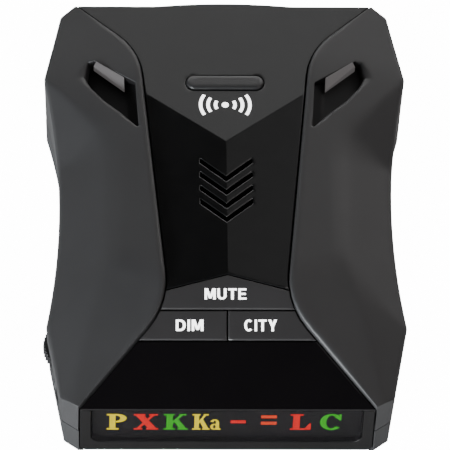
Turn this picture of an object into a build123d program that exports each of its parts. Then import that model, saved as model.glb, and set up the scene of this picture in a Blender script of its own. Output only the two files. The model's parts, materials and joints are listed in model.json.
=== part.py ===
from build123d import *
import math
import os

os.makedirs("parts", exist_ok=True)

# Frame: X to the right of the driver, Y forward to the antenna end, Z up from the resting plane.
# All dimensions are in millimetres.

# ---- casing -------------------------------------------------------------------------------
HEIGHT = 30.0
BASE_Z = 0.3                # underside of the casing; the grip strips stand below it
FLOOR = 1.8
WALL = 1.8
SKIN = 2.1                  # vertical thickness of the sloping roofs
PARTING_Z = 8.5             # joint between the lower housing and the covers
INNER_WALL_Z = 16.0         # lower edge of the wing covers' inner walls
GAP = 0.24                  # visible line between neighbouring covers
SHOULDER_Z = 25.0           # height at which the upper plan points below hold
CLEAR_Z = 40.0              # well above the casing; open-topped cutters run up to here

# Plan points of the right side, rear to front, at the foot and at the shoulder height.
# The fourth is the middle of the arc that draws in the waist.
PLAN_POINTS = [
    ((31.4, -49.0), (31.55, -49.0)),
    ((34.5, -46.7), (35.5, -46.5)),
    ((37.6, -29.1), (38.6, -29.5)),
    ((34.3, 0.0), (36.0, 0.0)),
    ((38.5, 29.3), (39.0, 29.6)),
    ((35.0, 45.6), (35.5, 45.8)),
    ((32.0, 48.1), (32.3, 48.4)),
]

# Seam between the centre and a wing: two diagonals joined by a long taper.
SEAM_POINTS = [(31.8, 48.4), (18.4, 35.3), (12.4, -28.9), (31.3, -49.1)]
SEAM_RADII = [18.0, 14.0]
FRONT_Y = 48.4              # straight front edge of the centre cover
BROW_Y = 49.0               # crown of the small brow in the middle of that edge
BROW_HALF = 14.5

# ---- facets: a point on the facet, its slope along X and its slope along Y -----------------
RIDGE_SLOPE = 0.11
REAR_SLOPE = 0.4788
FRONT_SLOPE = 0.14
APEX_Y = -23.2              # where the ridge meets the rear slope
VEE_Y = 10.1                # where the ridge meets the front facet
CENTRE_FACETS = [
    ((0, 0, HEIGHT), -RIDGE_SLOPE, 0),
    ((0, 0, HEIGHT), RIDGE_SLOPE, 0),
    ((0, VEE_Y, HEIGHT), 0, -FRONT_SLOPE),
    ((0, APEX_Y, HEIGHT), 0, REAR_SLOPE),
]
CREST = ((15, 0, 29.5), -0.20, 0)
WING_FACETS = [
    CREST,
    ((15, 30, 29.5), -0.20, -0.075),
    ((14, -29, 28.4), -0.309, 0.21),
    ((38.6, -29.5, 18.5), -0.535, 0.156),
]
SCOOP_FACETS = [((24.5, 0, 27.6), -0.655, 0), ((39, 29.8, 24.7), -0.543, 0.294)]

# ---- keys ---------------------------------------------------------------------------------
KEY_SPLIT_Y = -30.0         # between the wide key and the pair behind it
KEY_END_Y = -35.9           # between the pair and the display hood
KEY_DEPTH = 2.4
KEY_TRAVEL = 0.6
MUTE_AT = (0.0, -27.4)
DIM_AT = (-7.6, -33.0)
CITY_AT = (7.6, -33.0)

# ---- display ------------------------------------------------------------------------------
FACE_Y = -49.0
BEZEL_HALF = 31.1
BEZEL_TOP = 17.0
BEZEL_THICK = 2.2
BEZEL_R = 1.5
WINDOW_HALF = 28.7
WINDOW_LOW = 3.9
WINDOW_R = 2.4
WINDOW_THICK = 1.1
BAND_COUNT = 8
BAND_PITCH = 6.6
BAND_Z = 9.4
BAND_CELL = 2.8             # half width of one cell of the light guide
BAND_CELL_HIGH = 3.6

# ---- controls and interfaces ---------------------------------------------------------------
RELEASE_AT = (0.0, 26.5)
RELEASE_SIZE = (16.7, 3.8)
RELEASE_PROUD = 0.7
RELEASE_TRAVEL = 1.0
SLOT_HALF = 9.2             # windscreen bracket slot
SLOT_LOW = 17.6
SLOT_HIGH = 22.2
SLOT_END_Y = 33.0
WHEEL_AT = (-32.4, -29.6)
WHEEL_R = 6.6
WHEEL_LOW = 9.2
WHEEL_HIGH = 11.7
WHEEL_TEETH = 48
TOOTH_DEPTH = 0.55
JACK_Y = -39.2
JACK_R = 1.8
JACK_BARREL_R = 2.5
JACK_MOUTH_X = -35.7
JACK_LENGTH = 12.0

# ---- boards -------------------------------------------------------------------------------
BOARD_LOW = 4.6
BOARD_TOP = 6.2
BOARD_REAR_Y = -41.8
JACK_Z = BOARD_TOP + JACK_BARREL_R
CASE_POSTS = [(31.0, 38.0), (-31.0, 38.0), (30.0, -10.0), (-30.0, -10.0)]
BOARD_POSTS = [(24.0, 24.0), (-24.0, 24.0), (16.0, -22.0), (-16.0, -22.0)]

# ---- speaker ------------------------------------------------------------------------------
SPEAKER_Y = -3.4
SPEAKER_R = 10.0
CHEVRON_TIPS = [0.0, -3.4, -6.8, -10.2]
CHEVRON_HALF = 5.6
CHEVRON_SWEEP = 5.0
CHEVRON_WIDTH = 1.3

# ---- alert lenses --------------------------------------------------------------------------
EYE_POINTS = [(30.9, 35.0), (19.2, 26.1), (18.4, 14.1), (30.4, 28.6)]
EYE_DEPTH = 2.6
LENS_POINTS = [(27.7, 32.45), (21.7, 27.75), (21.6, 25.3), (28.3, 31.8)]


def centre_height(x, y):
    """Height of the centre's roof at a plan point."""
    sides = HEIGHT - RIDGE_SLOPE * abs(x)
    front = HEIGHT - FRONT_SLOPE * (y - VEE_Y)
    rear = HEIGHT + REAR_SLOPE * (y - APEX_Y)
    return min(sides, front, rear)


def above(facets, drop=0.0):
    """The space above every one of some facets, each lowered by drop."""
    with BuildPart() as space:
        Box(300, 300, 160)
        for (x, y, z), slope_x, slope_y in facets:
            facet_plane = Plane(origin=(x, y, z - drop), z_dir=(-slope_x, -slope_y, 1))
            split(bisect_by=facet_plane, keep=Keep.TOP)
    return space.part


def plan_outline(z, inset=0.0):
    """Outline of the casing at one height, drawn in by inset."""
    share = (z - BASE_Z) / (SHOULDER_Z - BASE_Z)
    points = []
    for (foot_x, foot_y), (top_x, top_y) in PLAN_POINTS:
        points.append((foot_x + share * (top_x - foot_x), foot_y + share * (top_y - foot_y)))
    rear_inner, rear_corner, near_shoulder, waist, far_shoulder, front_corner, tip = points
    with BuildSketch(Plane.XY.offset(z)) as outline:
        with BuildLine():
            Polyline((0, rear_inner[1]), rear_inner, rear_corner, near_shoulder)
            ThreePointArc(near_shoulder, waist, far_shoulder)
            Polyline(far_shoulder, front_corner, tip, (0, tip[1]))
            mirror(about=Plane.YZ)
        make_face()
        if inset:
            offset(amount=-inset, kind=Kind.INTERSECTION)
    return outline.sketch


def casing_block(low, high, inset=0.0):
    """The casing's solid outer form between two heights."""
    with BuildPart() as block:
        add(plan_outline(low, inset))
        add(plan_outline(high, inset))
        loft(ruled=True)
    return block.part


def centre_column(grow, low, high):
    """Everything between the two seams, widened by grow."""
    with BuildPart() as column:
        with BuildSketch(Plane.XY.offset(low)):
            with BuildLine():
                FilletPolyline(*SEAM_POINTS, radius=SEAM_RADII)
                Polyline(SEAM_POINTS[-1], (SEAM_POINTS[-1][0], -60), (0, -60))
                Polyline((0, 60), (SEAM_POINTS[0][0], 60), SEAM_POINTS[0])
                mirror(about=Plane.YZ)
            make_face()
            if grow:
                offset(amount=grow, kind=Kind.INTERSECTION)
        extrude(amount=high - low)
    return column.part


def wing_block(inset=0.0, drop=0.0):
    """Solid form of the right wing above the parting plane."""
    with BuildPart() as block:
        add(casing_block(PARTING_Z, HEIGHT + 1, inset))
        add(centre_column(GAP / 2 + inset, PARTING_Z - 1, HEIGHT + 2), mode=Mode.SUBTRACT)
        for facet in WING_FACETS:
            add(above([facet], drop), mode=Mode.SUBTRACT)
        add(above(SCOOP_FACETS, drop), mode=Mode.SUBTRACT)
        split(bisect_by=Plane.YZ, keep=Keep.TOP)
    return block.part


def plan_prism(points, low, high, grow=0.0):
    """A polygon drawn in plan and extruded between two heights."""
    with BuildPart() as prism:
        with BuildSketch(Plane.XY.offset(low)):
            with BuildLine():
                Polyline(*points, close=True)
            make_face()
            if grow:
                offset(amount=grow, kind=Kind.INTERSECTION)
        extrude(amount=high - low)
    return prism.part


def box_between(low, high):
    """A box given by two opposite corners."""
    size = [b - a for a, b in zip(low, high)]
    middle = [(a + b) / 2 for a, b in zip(low, high)]
    return Pos(*middle) * Box(*size, mode=Mode.PRIVATE)


def post(x, y, radius, low, high):
    """An upright cylinder."""
    return Pos(x, y, (low + high) / 2) * Cylinder(radius, high - low, mode=Mode.PRIVATE)


def cross_recess(x, y, z, length, width, depth):
    """The cutter of a screw's cross recess, centred at a point."""
    with BuildPart() as cutter:
        with Locations((x, y, z)):
            Box(length, width, depth)
            Box(width, length, depth)
    return cutter.part


def finish(piece, label):
    """Name a piece and write it to its own file."""
    piece.label = label
    export_step(piece, "parts/" + label + ".step")


# ---- lower housing --------------------------------------------------------------------------
NOTCH_GAP = 0.15
NOTCH_HALF = BEZEL_HALF + NOTCH_GAP
NOTCH_Y = FACE_Y + BEZEL_THICK + 0.1
NOTCH_REACH = 12.0
with BuildPart() as bezel_notch:        # follows the bezel's rounded lower corners
    with BuildSketch(Plane.XZ.offset(-NOTCH_Y)):
        with Locations((0, (BASE_Z - NOTCH_GAP + CLEAR_Z) / 2)):
            RectangleRounded(2 * NOTCH_HALF, CLEAR_Z - BASE_Z + NOTCH_GAP, BEZEL_R + NOTCH_GAP)
    extrude(amount=NOTCH_REACH)

with BuildPart() as lower_housing:
    add(casing_block(BASE_Z, PARTING_Z))
    add(casing_block(BASE_Z + FLOOR, PARTING_Z + 1, WALL), mode=Mode.SUBTRACT)
    for x, y in CASE_POSTS:
        add(post(x, y, 3.2, BASE_Z + FLOOR - 0.5, PARTING_Z - 0.1))
    for x, y in BOARD_POSTS:
        add(post(x, y, 2.4, BASE_Z + FLOOR - 0.5, BOARD_LOW))
    for x, y in CASE_POSTS:
        add(post(x, y, 1.35, 0, PARTING_Z + 1), mode=Mode.SUBTRACT)
        add(post(x, y, 2.7, 0, BASE_Z + 2.4), mode=Mode.SUBTRACT)
    for x, y in BOARD_POSTS:
        add(post(x, y, 0.9, BASE_Z + 1.2, BOARD_LOW + 1), mode=Mode.SUBTRACT)
    add(bezel_notch.part, mode=Mode.SUBTRACT)
    add(box_between((-WINDOW_HALF, -50, 3.4), (WINDOW_HALF, -44, 20)), mode=Mode.SUBTRACT)
    for y in (33.0, -30.0):
        add(box_between((-23.2, y - 4.7, -1), (23.2, y + 4.7, 0.9)), mode=Mode.SUBTRACT)
    add(box_between((-16.1, -8.1, -1), (16.1, 8.1, BASE_Z + 0.2)), mode=Mode.SUBTRACT)
    with Locations((JACK_MOUTH_X, JACK_Y, JACK_Z)):
        Cylinder(JACK_BARREL_R + 0.2, 8, rotation=(0, 90, 0), mode=Mode.SUBTRACT)
finish(lower_housing.part, "lower_housing")

with BuildPart() as grip_strips:
    for y in (33.0, -30.0):
        with BuildSketch():
            with Locations((0, y)):
                RectangleRounded(46.0, 9.0, 1.5)
        extrude(amount=0.9)
finish(grip_strips.part, "grip_strips")

with BuildPart() as rating_plate:
    with BuildSketch(Plane.XY.offset(BASE_Z)):
        RectangleRounded(32.0, 16.0, 1.0)
    extrude(amount=0.2)
finish(rating_plate.part, "rating_plate")

with BuildPart() as housing_screws:
    for x, y in CASE_POSTS:
        add(post(x, y, 2.4, BASE_Z + 0.7, BASE_Z + 2.4))
        add(post(x, y, 1.15, BASE_Z + 2.4, 16.0))
        add(cross_recess(x, y, BASE_Z + 1.0, 2.6, 0.6, 1.2), mode=Mode.SUBTRACT)
finish(housing_screws.part, "housing_screws")

# ---- wing covers ----------------------------------------------------------------------------
with BuildPart() as eye_patch:          # the thick patch of roof that carries the eye recess
    add(wing_block())
    add(plan_prism(EYE_POINTS, 0, HEIGHT + 5, 1.4), mode=Mode.INTERSECT)
    add(above([CREST], EYE_DEPTH + 1.5), mode=Mode.INTERSECT)

with BuildPart() as eye_recess:
    add(plan_prism(EYE_POINTS, 0, HEIGHT + 5))
    add(above([CREST], EYE_DEPTH), mode=Mode.INTERSECT)

with BuildPart() as wing_bosses:        # screw bosses, from the roof to the parting plane
    for x, y in CASE_POSTS:
        if x > 0:
            add(post(x, y, 3.0, PARTING_Z, HEIGHT))
    add(wing_block(0.6, 0.9), mode=Mode.INTERSECT)

with BuildPart() as wing_shell:
    add(wing_block())
    add(wing_block(WALL, SKIN), mode=Mode.SUBTRACT)
    add(casing_block(PARTING_Z - 1, INNER_WALL_Z, WALL), mode=Mode.SUBTRACT)
    add(eye_patch.part)
    add(wing_bosses.part)
    add(eye_recess.part, mode=Mode.SUBTRACT)
    for x, y in CASE_POSTS:
        add(post(x, y, 1.2, PARTING_Z - 1, 17.0), mode=Mode.SUBTRACT)
    add(box_between((-NOTCH_HALF, -60, -1), (NOTCH_HALF, NOTCH_Y, BEZEL_TOP + 0.15)), mode=Mode.SUBTRACT)
finish(wing_shell.part, "right_wing_cover")

with BuildPart() as left_wing_cover:
    mirror(wing_shell.part, about=Plane.YZ)
    add(post(*WHEEL_AT, WHEEL_R + 0.45, PARTING_Z - 1, WHEEL_HIGH + 0.3), mode=Mode.SUBTRACT)
    with Locations((JACK_MOUTH_X, JACK_Y, JACK_Z)):
        Cylinder(JACK_BARREL_R + 0.2, 8, rotation=(0, 90, 0), mode=Mode.SUBTRACT)
finish(left_wing_cover.part, "left_wing_cover")

with BuildPart() as right_alert_lens:
    add(plan_prism(LENS_POINTS, 0, HEIGHT))
    add(above([CREST], EYE_DEPTH - 0.02), mode=Mode.INTERSECT)
    add(above([((25, 30, 27.3), -0.756, 0.77)]), mode=Mode.SUBTRACT)
finish(right_alert_lens.part, "right_alert_lens")

with BuildPart() as left_alert_lens:
    mirror(right_alert_lens.part, about=Plane.YZ)
finish(left_alert_lens.part, "left_alert_lens")


# ---- centre: cover, keys and display hood ----------------------------------------------------
def below_roof(drop=0.0):
    """All the space under the centre's roof, lowered by drop."""
    with BuildPart() as space:
        Box(200, 200, 100)
        for facet in CENTRE_FACETS:
            add(above([facet], drop), mode=Mode.SUBTRACT)
    return space.part


def centre_slab(rear_y, front_y, thickness):
    """A strip of the centre's roof of one vertical thickness, inside the seams."""
    with BuildPart() as slab:
        add(centre_column(-GAP / 2, 0, HEIGHT + 2))
        add(box_between((-50, rear_y, 0), (50, front_y, HEIGHT + 2)), mode=Mode.INTERSECT)
        add(below_roof(), mode=Mode.INTERSECT)
        add(below_roof(thickness), mode=Mode.SUBTRACT)
    return slab.part


VEE_RISE = RIDGE_SLOPE / REAR_SLOPE      # sweep of the line where the ridge meets the slope
APEX_ARM = 20.0


def rear_vee(shift):
    """Plan region behind the swept line at the ridge's end, moved forward by shift."""
    apex = APEX_Y + shift
    arm_y = apex - VEE_RISE * APEX_ARM
    points = [(0, apex), (APEX_ARM, arm_y), (APEX_ARM, -60), (-APEX_ARM, -60), (-APEX_ARM, arm_y)]
    return plan_prism(points, 0, HEIGHT + 2)


BROW_FACET = ((0, FRONT_Y, centre_height(0, FRONT_Y) + 0.3), 0, -FRONT_SLOPE)
with BuildPart() as brow:               # a shallow arched swelling in the middle of the front edge
    with BuildSketch(Plane.XY.offset(centre_height(0, FRONT_Y) - SKIN)):
        with BuildLine():
            ThreePointArc((-BROW_HALF, FRONT_Y), (0, BROW_Y), (BROW_HALF, FRONT_Y))
            Polyline((BROW_HALF, FRONT_Y), (BROW_HALF, FRONT_Y - 2), (-BROW_HALF, FRONT_Y - 2),
                     (-BROW_HALF, FRONT_Y))
        make_face()
    extrude(amount=8)
    add(above([BROW_FACET]), mode=Mode.SUBTRACT)

with BuildPart() as centre_cover:
    add(centre_slab(-32.0, FRONT_Y, SKIN))
    add(rear_vee(GAP / 2), mode=Mode.SUBTRACT)
    add(brow.part)
    for tip_y in CHEVRON_TIPS:
        ends_y = tip_y + CHEVRON_SWEEP
        chevron = [(0, tip_y), (CHEVRON_HALF, ends_y), (CHEVRON_HALF, ends_y + CHEVRON_WIDTH),
                   (0, tip_y + CHEVRON_WIDTH), (-CHEVRON_HALF, ends_y + CHEVRON_WIDTH), (-CHEVRON_HALF, ends_y)]
        add(plan_prism(chevron, 10, HEIGHT + 5), mode=Mode.SUBTRACT)
    with BuildSketch(Plane.XY.offset(20)):
        with Locations(RELEASE_AT):
            SlotOverall(RELEASE_SIZE[0] + 0.2, RELEASE_SIZE[1] + 0.2)
    extrude(amount=20, mode=Mode.SUBTRACT)
finish(centre_cover.part, "centre_cover")

with BuildPart() as display_hood:
    add(centre_slab(FACE_Y, KEY_END_Y - GAP / 2, SKIN))
    add(box_between((-50, -60, 0), (50, NOTCH_Y, BEZEL_TOP + 0.1)), mode=Mode.SUBTRACT)
finish(display_hood.part, "display_hood")


def key(rear_y, front_y, left, right, stem_at):
    """One key: a slab of the rear slope with a stem down to its switch."""
    with BuildPart() as made:
        add(centre_slab(rear_y, front_y, KEY_DEPTH))
        add(rear_vee(-GAP / 2), mode=Mode.INTERSECT)
        add(box_between((left, -60, 0), (right, 60, HEIGHT + 2)), mode=Mode.INTERSECT)
        add(post(*stem_at, 1.5, PLUNGER_TOP, centre_height(*stem_at) - KEY_DEPTH / 2))
    return made.part


SWITCH_HIGH = BOARD_TOP + 3.5
PLUNGER_TOP = 13.2
PLUNGER_R = 1.7
mute_key = key(KEY_SPLIT_Y + GAP / 2, 0, -50, 50, MUTE_AT)
dim_key = key(KEY_END_Y + GAP / 2, KEY_SPLIT_Y - GAP / 2, -50, -GAP / 2, DIM_AT)
city_key = key(KEY_END_Y + GAP / 2, KEY_SPLIT_Y - GAP / 2, GAP / 2, 50, CITY_AT)
finish(mute_key, "mute_key")
finish(dim_key, "dim_key")
finish(city_key, "city_key")

with BuildPart() as key_switches:
    for x, y in (MUTE_AT, DIM_AT, CITY_AT):
        add(box_between((x - 2.9, y - 2.9, BOARD_TOP), (x + 2.9, y + 2.9, SWITCH_HIGH)))
        add(post(x, y, PLUNGER_R + 0.05, BOARD_TOP + 1.0, SWITCH_HIGH + 1), mode=Mode.SUBTRACT)
finish(key_switches.part, "key_switches")

for name, at in (("mute", MUTE_AT), ("dim", DIM_AT), ("city", CITY_AT)):
    with BuildPart() as plunger:
        add(post(*at, PLUNGER_R, BOARD_TOP + 1.0 + KEY_TRAVEL + 0.2, PLUNGER_TOP))
        chamfer(plunger.faces().sort_by(Axis.Z)[-1].edges(), 0.3)
    finish(plunger.part, name + "_plunger")

# ---- display --------------------------------------------------------------------------------
with BuildPart() as display_bezel:
    add(box_between((-BEZEL_HALF, FACE_Y, BASE_Z), (BEZEL_HALF, FACE_Y + BEZEL_THICK, BEZEL_TOP)))
    fillet(display_bezel.edges().filter_by(Axis.Y).group_by(Axis.Z)[0], BEZEL_R)
    with BuildSketch(Plane.XZ.offset(60)):
        with Locations((0, (WINDOW_LOW + CLEAR_Z) / 2)):
            RectangleRounded(2 * WINDOW_HALF, CLEAR_Z - WINDOW_LOW, WINDOW_R)
    extrude(amount=-100, mode=Mode.SUBTRACT)
finish(display_bezel.part, "display_bezel")


def window_slab(rear_y, front_y, shrink):
    """A slab of the window's outline, standing upright behind the bezel opening."""
    half = WINDOW_HALF - shrink
    with BuildPart() as slab:
        with BuildSketch(Plane.XZ.offset(-rear_y)):
            with Locations((0, (WINDOW_LOW + CLEAR_Z) / 2)):
                RectangleRounded(2 * half, CLEAR_Z - WINDOW_LOW - 2 * shrink, WINDOW_R)
        extrude(amount=rear_y - front_y)
        add(box_between((-50, -60, 0), (50, 0, BEZEL_TOP - shrink)), mode=Mode.INTERSECT)
    return slab.part


finish(window_slab(FACE_Y, FACE_Y + WINDOW_THICK, 0.08), "display_window")
LEGEND_Y = FACE_Y + WINDOW_THICK + 0.1
finish(window_slab(LEGEND_Y, LEGEND_Y + 0.25, 0.3), "band_legend")

GUIDE_Y = LEGEND_Y + 0.35
GUIDE_BACK_Y = -43.6
GUIDE_HALF = 27.6
GUIDE_LOW = 4.6
GUIDE_HIGH = 15.8
BAND_XS = [(i - (BAND_COUNT - 1) / 2) * BAND_PITCH for i in range(BAND_COUNT)]
with BuildPart() as light_guide:
    add(box_between((-GUIDE_HALF, GUIDE_Y, GUIDE_LOW), (GUIDE_HALF, GUIDE_BACK_Y, GUIDE_HIGH)))
    for x in BAND_XS:
        add(box_between((x - BAND_CELL, -60, BAND_Z - BAND_CELL_HIGH),
                        (x + BAND_CELL, 0, BAND_Z + BAND_CELL_HIGH)), mode=Mode.SUBTRACT)
finish(light_guide.part, "light_guide")

DISPLAY_BOARD_BACK_Y = GUIDE_BACK_Y + 1.3
DISPLAY_BOARD_HALF = 28.0
with BuildPart() as display_board:
    add(box_between((-DISPLAY_BOARD_HALF, GUIDE_BACK_Y + 0.1, GUIDE_LOW),
                    (DISPLAY_BOARD_HALF, DISPLAY_BOARD_BACK_Y, GUIDE_HIGH)))
finish(display_board.part, "display_board")

with BuildPart() as display_leds:
    for x in BAND_XS:
        add(box_between((x - 1.6, GUIDE_BACK_Y - 1.0, BAND_Z - 0.8), (x + 1.6, GUIDE_BACK_Y + 0.1, BAND_Z + 0.8)))
finish(display_leds.part, "display_leds")

with BuildPart() as board_link:
    for i in range(10):
        x = (i - 4.5) * 2.0
        add(box_between((x - 0.3, DISPLAY_BOARD_BACK_Y, BOARD_TOP + 0.6), (x + 0.3, -40.4, BOARD_TOP + 1.2)))
        add(box_between((x - 0.3, -41.0, BOARD_TOP), (x + 0.3, -40.4, BOARD_TOP + 1.2)))
finish(board_link.part, "board_link")

# ---- boards ---------------------------------------------------------------------------------
with BuildPart() as main_board:
    add(casing_block(BOARD_LOW, BOARD_TOP, WALL + 0.7))
    add(box_between((-50, -60, 0), (50, BOARD_REAR_Y, 20)), mode=Mode.SUBTRACT)
    for x, y in CASE_POSTS:
        add(post(x, y, 3.5, 0, 20), mode=Mode.SUBTRACT)
    for x, y in BOARD_POSTS:
        add(post(x, y, 1.1, 0, 20), mode=Mode.SUBTRACT)
finish(main_board.part, "main_board")

with BuildPart() as board_screws:
    for x, y in BOARD_POSTS:
        add(post(x, y, 0.85, 2.2, BOARD_TOP))
        add(post(x, y, 1.9, BOARD_TOP, BOARD_TOP + 1.3))
        add(cross_recess(x, y, BOARD_TOP + 1.1, 2.2, 0.5, 1.0), mode=Mode.SUBTRACT)
finish(board_screws.part, "board_screws")

with BuildPart() as board_components:
    add(box_between((15.0, -14.0, BOARD_TOP), (25.0, -4.0, BOARD_TOP + 1.6)))
    add(box_between((-24.0, 2.0, BOARD_TOP), (-16.0, 7.0, BOARD_TOP + 1.5)))
    for x, y in ((19.0, 4.0), (26.0, 4.0), (-22.0, -13.0)):
        add(post(x, y, 2.5, BOARD_TOP, BOARD_TOP + 5.4))
    for i in range(5):
        x = 16.0 + 2.4 * i
        add(box_between((x, 12.0, BOARD_TOP), (x + 1.2, 14.0, BOARD_TOP + 0.6)))
        add(box_between((-x - 1.2, 12.0, BOARD_TOP), (-x, 14.0, BOARD_TOP + 0.6)))
finish(board_components.part, "board_components")

# ---- microwave receiver ------------------------------------------------------------------------
with BuildPart() as shield_can:
    add(box_between((-11.0, 0.0, BOARD_TOP), (11.0, 20.0, 13.0)))
    fillet(shield_can.edges().filter_by(Axis.Z), 1.0)
    add(box_between((-10.5, 0.5, 0), (10.5, 19.5, 12.5)), mode=Mode.SUBTRACT)
finish(shield_can.part, "shield_can")


def horn_form(grow):
    """A tapered box from the throat to the mouth, its faces moved out by grow."""
    with BuildPart() as form:
        for y, half, low, high in ((20.2, 6.0, 7.6, 10.4), (45.5, 12.4, 7.3, 13.6)):
            with BuildSketch(Plane.XZ.offset(-y)):
                with Locations((0, (low + high) / 2)):
                    Rectangle(2 * (half + grow), high - low + 2 * grow)
        loft()
    return form.part


SPRING_SEAT_Z = 12.6
with BuildPart() as horn_antenna:
    add(horn_form(1.0))
    add(post(*RELEASE_AT, 2.8, 9.0, SPRING_SEAT_Z))
    add(horn_form(0.0), mode=Mode.SUBTRACT)
    for x in (-9.0, 9.0):
        add(box_between((x - 2.5, 22.0, BOARD_TOP), (x + 2.5, 27.0, BOARD_TOP + 1.6)))
    add(horn_form(0.0), mode=Mode.SUBTRACT)
finish(horn_antenna.part, "horn_antenna")

# ---- front panel and laser receiver --------------------------------------------------------------
PANEL_BACK_Y = 46.8
PANEL_FRONT_Y = 48.1
PANEL_LOW = PARTING_Z + 0.15
PANEL_HIGH = 22.5
LASER_AT = (21.0, 14.0)
with BuildPart() as front_panel:
    add(box_between((-29.8, PANEL_BACK_Y, PANEL_LOW), (29.8, PANEL_FRONT_Y, PANEL_HIGH)))
    add(box_between((-SLOT_HALF - 0.3, 40, SLOT_LOW - 0.2), (SLOT_HALF + 0.3, 60, PANEL_HIGH + 1)),
        mode=Mode.SUBTRACT)
    with BuildSketch(Plane.XZ.offset(-60)):
        with Locations(LASER_AT):
            Circle(3.6)
    extrude(amount=30, mode=Mode.SUBTRACT)
finish(front_panel.part, "front_panel")

with BuildPart() as laser_lens:
    with BuildSketch(Plane.XZ.offset(-PANEL_FRONT_Y)):
        with Locations(LASER_AT):
            Circle(3.5)
    extrude(amount=2.2)
    chamfer(laser_lens.faces().sort_by(Axis.Y)[-1].edges(), 0.4)
finish(laser_lens.part, "laser_lens")

with BuildPart() as laser_sensor:
    add(box_between((18.4, 39.6, BOARD_TOP), (23.6, 42.6, 15.8)))
    with BuildSketch(Plane.XZ.offset(-42.6)):
        with Locations(LASER_AT):
            Circle(1.7)
    extrude(amount=-1.4)
finish(laser_sensor.part, "laser_sensor")

# ---- bracket socket and its release ---------------------------------------------------------------
SOCKET_WALL = 1.1
SOCKET_MOUTH_Y = 46.35      # just behind the front panel and clear of the brow
with BuildPart() as bracket_socket:
    add(box_between((-SLOT_HALF - SOCKET_WALL, SLOT_END_Y - SOCKET_WALL, SLOT_LOW - SOCKET_WALL),
                    (SLOT_HALF + SOCKET_WALL, SOCKET_MOUTH_Y, SLOT_HIGH + SOCKET_WALL / 2)))
    add(box_between((-SLOT_HALF, SLOT_END_Y, SLOT_LOW), (SLOT_HALF, 60, SLOT_HIGH)), mode=Mode.SUBTRACT)
    add(box_between((-2.4, SLOT_END_Y, 0), (2.4, SLOT_END_Y + 2.2, SLOT_LOW + 0.1)), mode=Mode.SUBTRACT)
finish(bracket_socket.part, "bracket_socket")

FLANGE_THICK = 0.8
LATCH_LOW = 15.4
LATCH_HIGH = 16.4
with BuildPart() as release_flange:     # bears on the underside of the centre cover
    with BuildSketch(Plane.XY.offset(20)):
        with Locations(RELEASE_AT):
            SlotOverall(RELEASE_SIZE[0] + 1.8, RELEASE_SIZE[1] + 1.8)
    extrude(amount=15)
    add(above([CENTRE_FACETS[2]], SKIN + 0.05), mode=Mode.SUBTRACT)

with BuildPart() as release_button:
    with BuildSketch(Plane.XY.offset(20)):
        with Locations(RELEASE_AT):
            SlotOverall(*RELEASE_SIZE)
    extrude(amount=15)
    add(above([CENTRE_FACETS[2]], -RELEASE_PROUD), mode=Mode.SUBTRACT)
    add(release_flange.part)
    add(above([CENTRE_FACETS[2]], SKIN + FLANGE_THICK), mode=Mode.INTERSECT)
    x, y = RELEASE_AT
    add(box_between((x - 2.2, y - 1.2, LATCH_HIGH), (x + 2.2, y + 1.2, centre_height(x, y) - SKIN)))
finish(release_button.part, "release_button")

with BuildPart() as release_latch:
    x, y = RELEASE_AT
    add(box_between((x - 2.0, y - 2.4, LATCH_LOW), (x + 2.0, SLOT_END_Y + 1.8, LATCH_HIGH)))
    add(box_between((x - 2.0, SLOT_END_Y + 0.4, LATCH_LOW), (x + 2.0, SLOT_END_Y + 1.8, SLOT_LOW + 0.9)))
    tooth_top = release_latch.faces().sort_by(Axis.Z)[-1]
    chamfer(tooth_top.edges().sort_by(Axis.Y)[-1], 0.5)
finish(release_latch.part, "release_latch")

SPRING_R = 1.9
SPRING_WIRE_R = 0.22
SPRING_TURNS = 3
with BuildPart() as release_spring:
    spring_base = SPRING_SEAT_Z + SPRING_WIRE_R
    spring_height = LATCH_LOW - SPRING_SEAT_Z - 2 * SPRING_WIRE_R
    with BuildLine():
        coil = Helix(spring_height / SPRING_TURNS, spring_height, SPRING_R, center=(*RELEASE_AT, spring_base))
    with BuildSketch(Plane(origin=coil @ 0, z_dir=coil % 0)):
        Circle(SPRING_WIRE_R)
    sweep(is_frenet=True)
finish(release_spring.part, "release_spring")

# ---- speaker --------------------------------------------------------------------------------
SPEAKER_TOP = 26.4
with BuildPart() as speaker_frame:
    with BuildSketch(Plane.XZ.offset(-SPEAKER_Y)):
        with BuildLine():
            Polyline((5.2, 20.0), (6.6, 20.0), (9.4, 25.2), (SPEAKER_R, 25.2), (SPEAKER_R, SPEAKER_TOP),
                     (8.8, SPEAKER_TOP), (5.2, 20.8), close=True)
        make_face()
    revolve(axis=Axis((0, SPEAKER_Y, 0), (0, 0, 1)))
finish(speaker_frame.part, "speaker_frame")

with BuildPart() as speaker_magnet:
    add(post(0, SPEAKER_Y, 6.2, 16.4, 19.9))
    add(post(0, SPEAKER_Y, 4.8, 19.9, 20.6))
finish(speaker_magnet.part, "speaker_magnet")

with BuildPart() as speaker_cone:
    with BuildSketch(Plane.XZ.offset(-SPEAKER_Y)):
        with BuildLine():
            Polyline((0, 22.0), (3.0, 21.4), (8.5, SPEAKER_TOP - 0.1), (8.2, SPEAKER_TOP - 0.1), (3.0, 21.8),
                     (0, 22.4), close=True)
        make_face()
    revolve(axis=Axis((0, SPEAKER_Y, 0), (0, 0, 1)))
finish(speaker_cone.part, "speaker_cone")

with BuildPart() as speaker_mesh:
    add(post(0, SPEAKER_Y, SPEAKER_R - 0.6, SPEAKER_TOP + 0.05, SPEAKER_TOP + 0.3))
finish(speaker_mesh.part, "speaker_mesh")

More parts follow.
